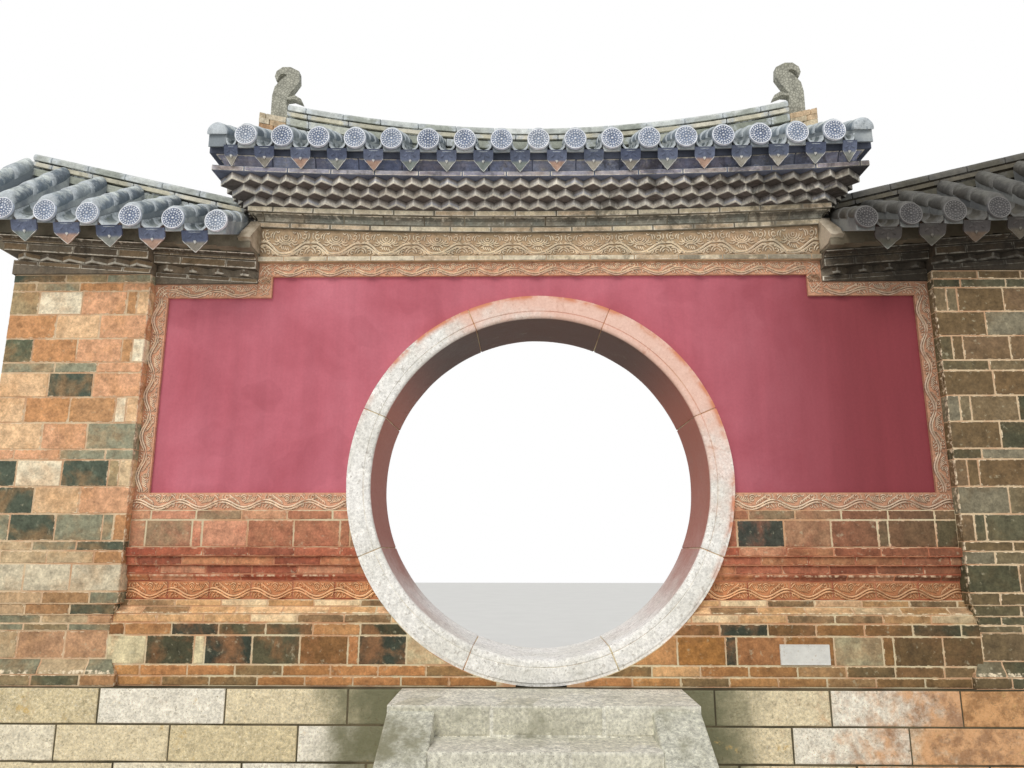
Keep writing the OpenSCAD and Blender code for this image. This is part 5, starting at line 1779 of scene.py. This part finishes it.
centre_places = [((i + 0.5) * CENTRE_PITCH, 0.1062) for i in range(-8, 8)]
centre_places += [(s * 1.9815, 0.0678) for s in (-1, 1)]
side_places = [((a + b) / 2, 0.1425) for a, b in zip(SIDE_ROWS[:-1], SIDE_ROWS[1:])]
model_channels("centre", CENTRE, centre_places, (1,), 0.575, ["pan_tiles"])
model_channels("side", SIDE, side_places, (-1, 1), 0.615, ["side_pans_left", "side_pans_right"])


# %% [markdown]
# ## The ridges
# A ridge is a little wall: a body of bricks, a recess painted nearly black as painted shade, a band of
# moulded tiles, another recess and a row of half-round caps. Each course is laid along the curve of the
# roof from one full-width unit.
# Under the end ornaments the body is rougher, because its plaster has fallen off.
# %% Ridge courses
def full_width_blank(half, height, seed, rounded=False, length=0.28):
    """A unit as wide as the ridge, its middle over the ridge line."""
    new_block("unit", (length, 2 * half, height), (0, 0, height / 2))
    if rounded:
        pick("EDGE", lambda middle, edge: middle.z > height - 0.001 and abs(middle.y) > half - 0.001)
        bpy.ops.mesh.bevel(offset=0.7 * height, segments=5)
    round_ends()
    cut_across(X_AXIS, [0.03])
    pick_all()
    wander(0.0012, seed)
    return Blank(leave_edit(), edge=lambda p: float(abs(p[0]) > length / 2 - 0.005) * 0.8)


def ridge_rise(roof):
    """Seat of a ridge along its roof."""
    def rise(x):
        low = roof.height(abs(x), RIDGE_HALF)
        return low + 0.0003 + 0.6 * (roof.height(abs(x) + CENTRE_PITCH / 2, RIDGE_HALF) - low)
    return rise


def seat(laying, unit, points, x, lift, rise):
    """Adds a unit at x along the ridge line, lifted over its seat."""
    points[:, 0] += x
    points[:, 2] += lift + rise(points[:, 0])
    laying.add(unit, points)


RIDGE_COURSES = [
    # name, low, high, half width, length of a unit, rounded top
    ("body_low", 0.0, 0.046, 0.0905, 0.3, False), ("recess", 0.01, 0.192, 0.068, 0.6, False),
    ("body_high", 0.068, 0.121, 0.0895, 0.33, False),
    ("band", 0.142, 0.1715, 0.087, 0.3, False), ("cap", 0.1887, 0.245, 0.081, 0.272, True)]
RIDGE_FOOT = [
    # courses under the body, which fill the gap where the ridge rises over the roof:
    # name, depth, height, half width
    ("foot_pale", 0.034, 0.034, 0.093), ("foot_dark", 0.054, 0.02, 0.078), ("foot_pale", 0.09, 0.036, 0.0915),
    ("foot_dark", 0.106, 0.016, 0.08), ("foot_pale", 0.15, 0.044, 0.093), ("foot_dark", 0.17, 0.02, 0.08),
    ("foot_pale", 0.212, 0.042, 0.093), ("foot_dark", 0.235, 0.023, 0.08), ("foot_pale", 0.275, 0.04, 0.093)]


def model_ridge_foot():
    rise = ridge_rise(RIDGE_LINE)
    for index, kind in enumerate(("foot_pale", "foot_dark")):
        laying = Laying(77 + index)
        for number, (course, deep, height, half) in enumerate(RIDGE_FOOT):
            if course != kind:
                continue
            unit = full_width_blank(half, height, 40 + number)
            for u0, u1 in bond(-2.0, 2.0, [0.31], 0.07 * number):
                hidden_below = CENTRE.height((u0 + u1) / 2, RIDGE_HALF) - 0.05
                if rise(min(abs(u0), abs(u1), 2.0)) - deep + height < hidden_below:
                    continue
                seat(laying, unit, unit.stretched(u1 - u0 - 0.003), (u0 + u1) / 2, -deep, rise)
        laying.make("ridge_" + kind, ridge_band if index == 0 else ridge_recess_shade, "roof_tile")


def model_ridge(name, roof, runs, replaced):
    rise = ridge_rise(roof)
    finishes = {"body_low": ridge_body, "body_high": ridge_body, "recess": ridge_recess_shade, "band": ridge_band,
                "cap": ridge_cap}
    for index, (course, z0, z1, half, length, rounded) in enumerate(RIDGE_COURSES):
        units = [full_width_blank(half, z1 - z0, seed + 3 * index, rounded) for seed in range(2)]
        laying = Laying(71 + index)
        for start, stop in runs:
            for u0, u1 in bond(start, stop, [length], 0.5 * length):
                points = laying.dice.choice(units).stretched(u1 - u0 - 0.004)
                seat(laying, units[0], points, (u0 + u1) / 2, z0, rise)
        laying.make("%s_%s" % (name, course), finishes[course], "roof_tile", replaced if index == 0 else (),
                    smooth=40)


def model_pedestals():
    rise = ridge_rise(RIDGE_LINE)
    rough = [full_width_blank(0.0865, 0.04, seed + 20, length=0.2) for seed in range(3)]
    laying, inner, outer = Laying(79), 1.8003, 1.999
    for side in (-1, 1):
        for level in range(3):
            cut = inner + 0.09 + 0.03 * level
            for u0, u1 in ((inner, cut), (cut, outer)):
                points = laying.dice.choice(rough).stretched(u1 - u0 - 0.003)
                points[:, 1] *= laying.dice.uniform(0.96, 1.04)
                seat(laying, rough[0], points, side * (u0 + u1) / 2, 0.0417 * level, rise)
    laying.make("ridge_pedestals", ridge_rough, "mortar")


ridge_body = tile_finish("ridge_body", ["b9bcae", "a4a89a", "c8cabc", "8f9486"], "e6e8e0", 0.5, 0.5)
# Painted shade: the recess, and the dark courses of the ridge foot, are painted nearly black.
ridge_recess_shade = tile_finish("ridge_recess_shade", ["3a3b37", "454741"], "6a6c62", 0.3, 0.4)
ridge_band = tile_finish("ridge_band", ["d2ccb4", "c3bea8", "dcd6c2"], "e2dfd2", 0.5, 0.25)
ridge_cap = tile_finish("ridge_cap", ["c9cdc8", "b9bdb6", "d8dbd6", "a5aaa0"], "e0e2de", 0.7, 0.3)
ridge_rough = brick_finish("ridge_rough", ["d3b896", "e2d6bd", "bb9673", "d6c6a8"], "a08868", 0.4)
model_ridge_foot()
model_ridge("centre_ridge", RIDGE_LINE, [(-1.8, 1.8)], ["ridge"])
model_ridge("side_ridge", SIDE, [(2.05, 3.604), (-3.604, -2.05)], ["side_ridge_left", "side_ridge_right"])
model_pedestals()


# %% [markdown]
# ## Flashings
# Where a side roof runs against the end of the centre block, the joint is packed with rough masonry and
# a bank of mortar is drawn down the slope, so that no water stands there.
# %% Flashings
def model_flashings():
    inner, middle, outer = BLOCK_HALF + 0.001, 1.94, 2.046
    bank = [(-0.46, 3.35), (-0.25, 3.55), (-0.16, 3.59), (0.16, 3.59), (0.25, 3.55), (0.46, 3.35),
            (0.4, 3.31), (-0.4, 3.31)]
    pack = [(-0.2, 3.43), (-0.17, 3.56), (0.17, 3.56), (0.2, 3.43)]
    for side, name in ((-1, "end_flashing_left"), (1, "end_flashing_right")):
        parts = []
        for section, x0, x1 in ((bank, inner, middle), (pack, middle - 0.004, outer)):
            new_outline(name, [(side * x0, y, z) for y, z in section])
            extrude((side * (x1 - x0), 0, 0))
            cut_across(Y_AXIS, np.arange(-0.45, 0.5, 0.06))
            cut_across(X_AXIS, side * np.arange(1.88, 2.04, 0.04))
            pick("VERT", lambda place, vert: abs(place.x) > BLOCK_HALF + 0.01)
            wander(0.013, len(parts))
            parts.append(leave_edit())
        settle(join(parts), mortar_tan)


model_flashings()


# %% [markdown]
# ## Notice plate
# A small bare plate is fixed to the plinth to the right of the ring. It is bevelled and stands proud of
# the brick by its own thickness.
# %% Notice plate
def model_plate():
    new_block("notice_plate", (0.29, 0.012, 0.115), (1.545, -0.3095, 0.785))
    pick_rim(-0.315)
    bpy.ops.mesh.bevel(offset=0.003, segments=2)
    pick("FACE", lambda middle, normal: normal.y < -0.99)
    bpy.ops.mesh.inset(thickness=0.008)
    bpy.ops.transform.translate(value=(0, 0.0015, 0))
    f = Finish("plate_enamel", 0.45, 0.5)
    colour = f.shade(tint("dcdad2"), f.noise(30, 4, 0.6), 0.85, 1.08)
    colour = f.mix(f.mask(f.noise(60, 4, 0.7, seed=2), 0.6, 0.7), colour, "b8a58c")
    settle(leave_edit(), f.done(colour, f.bump(f.noise(90, 4, 0.7), 0.001, 0.4)))


model_plate()
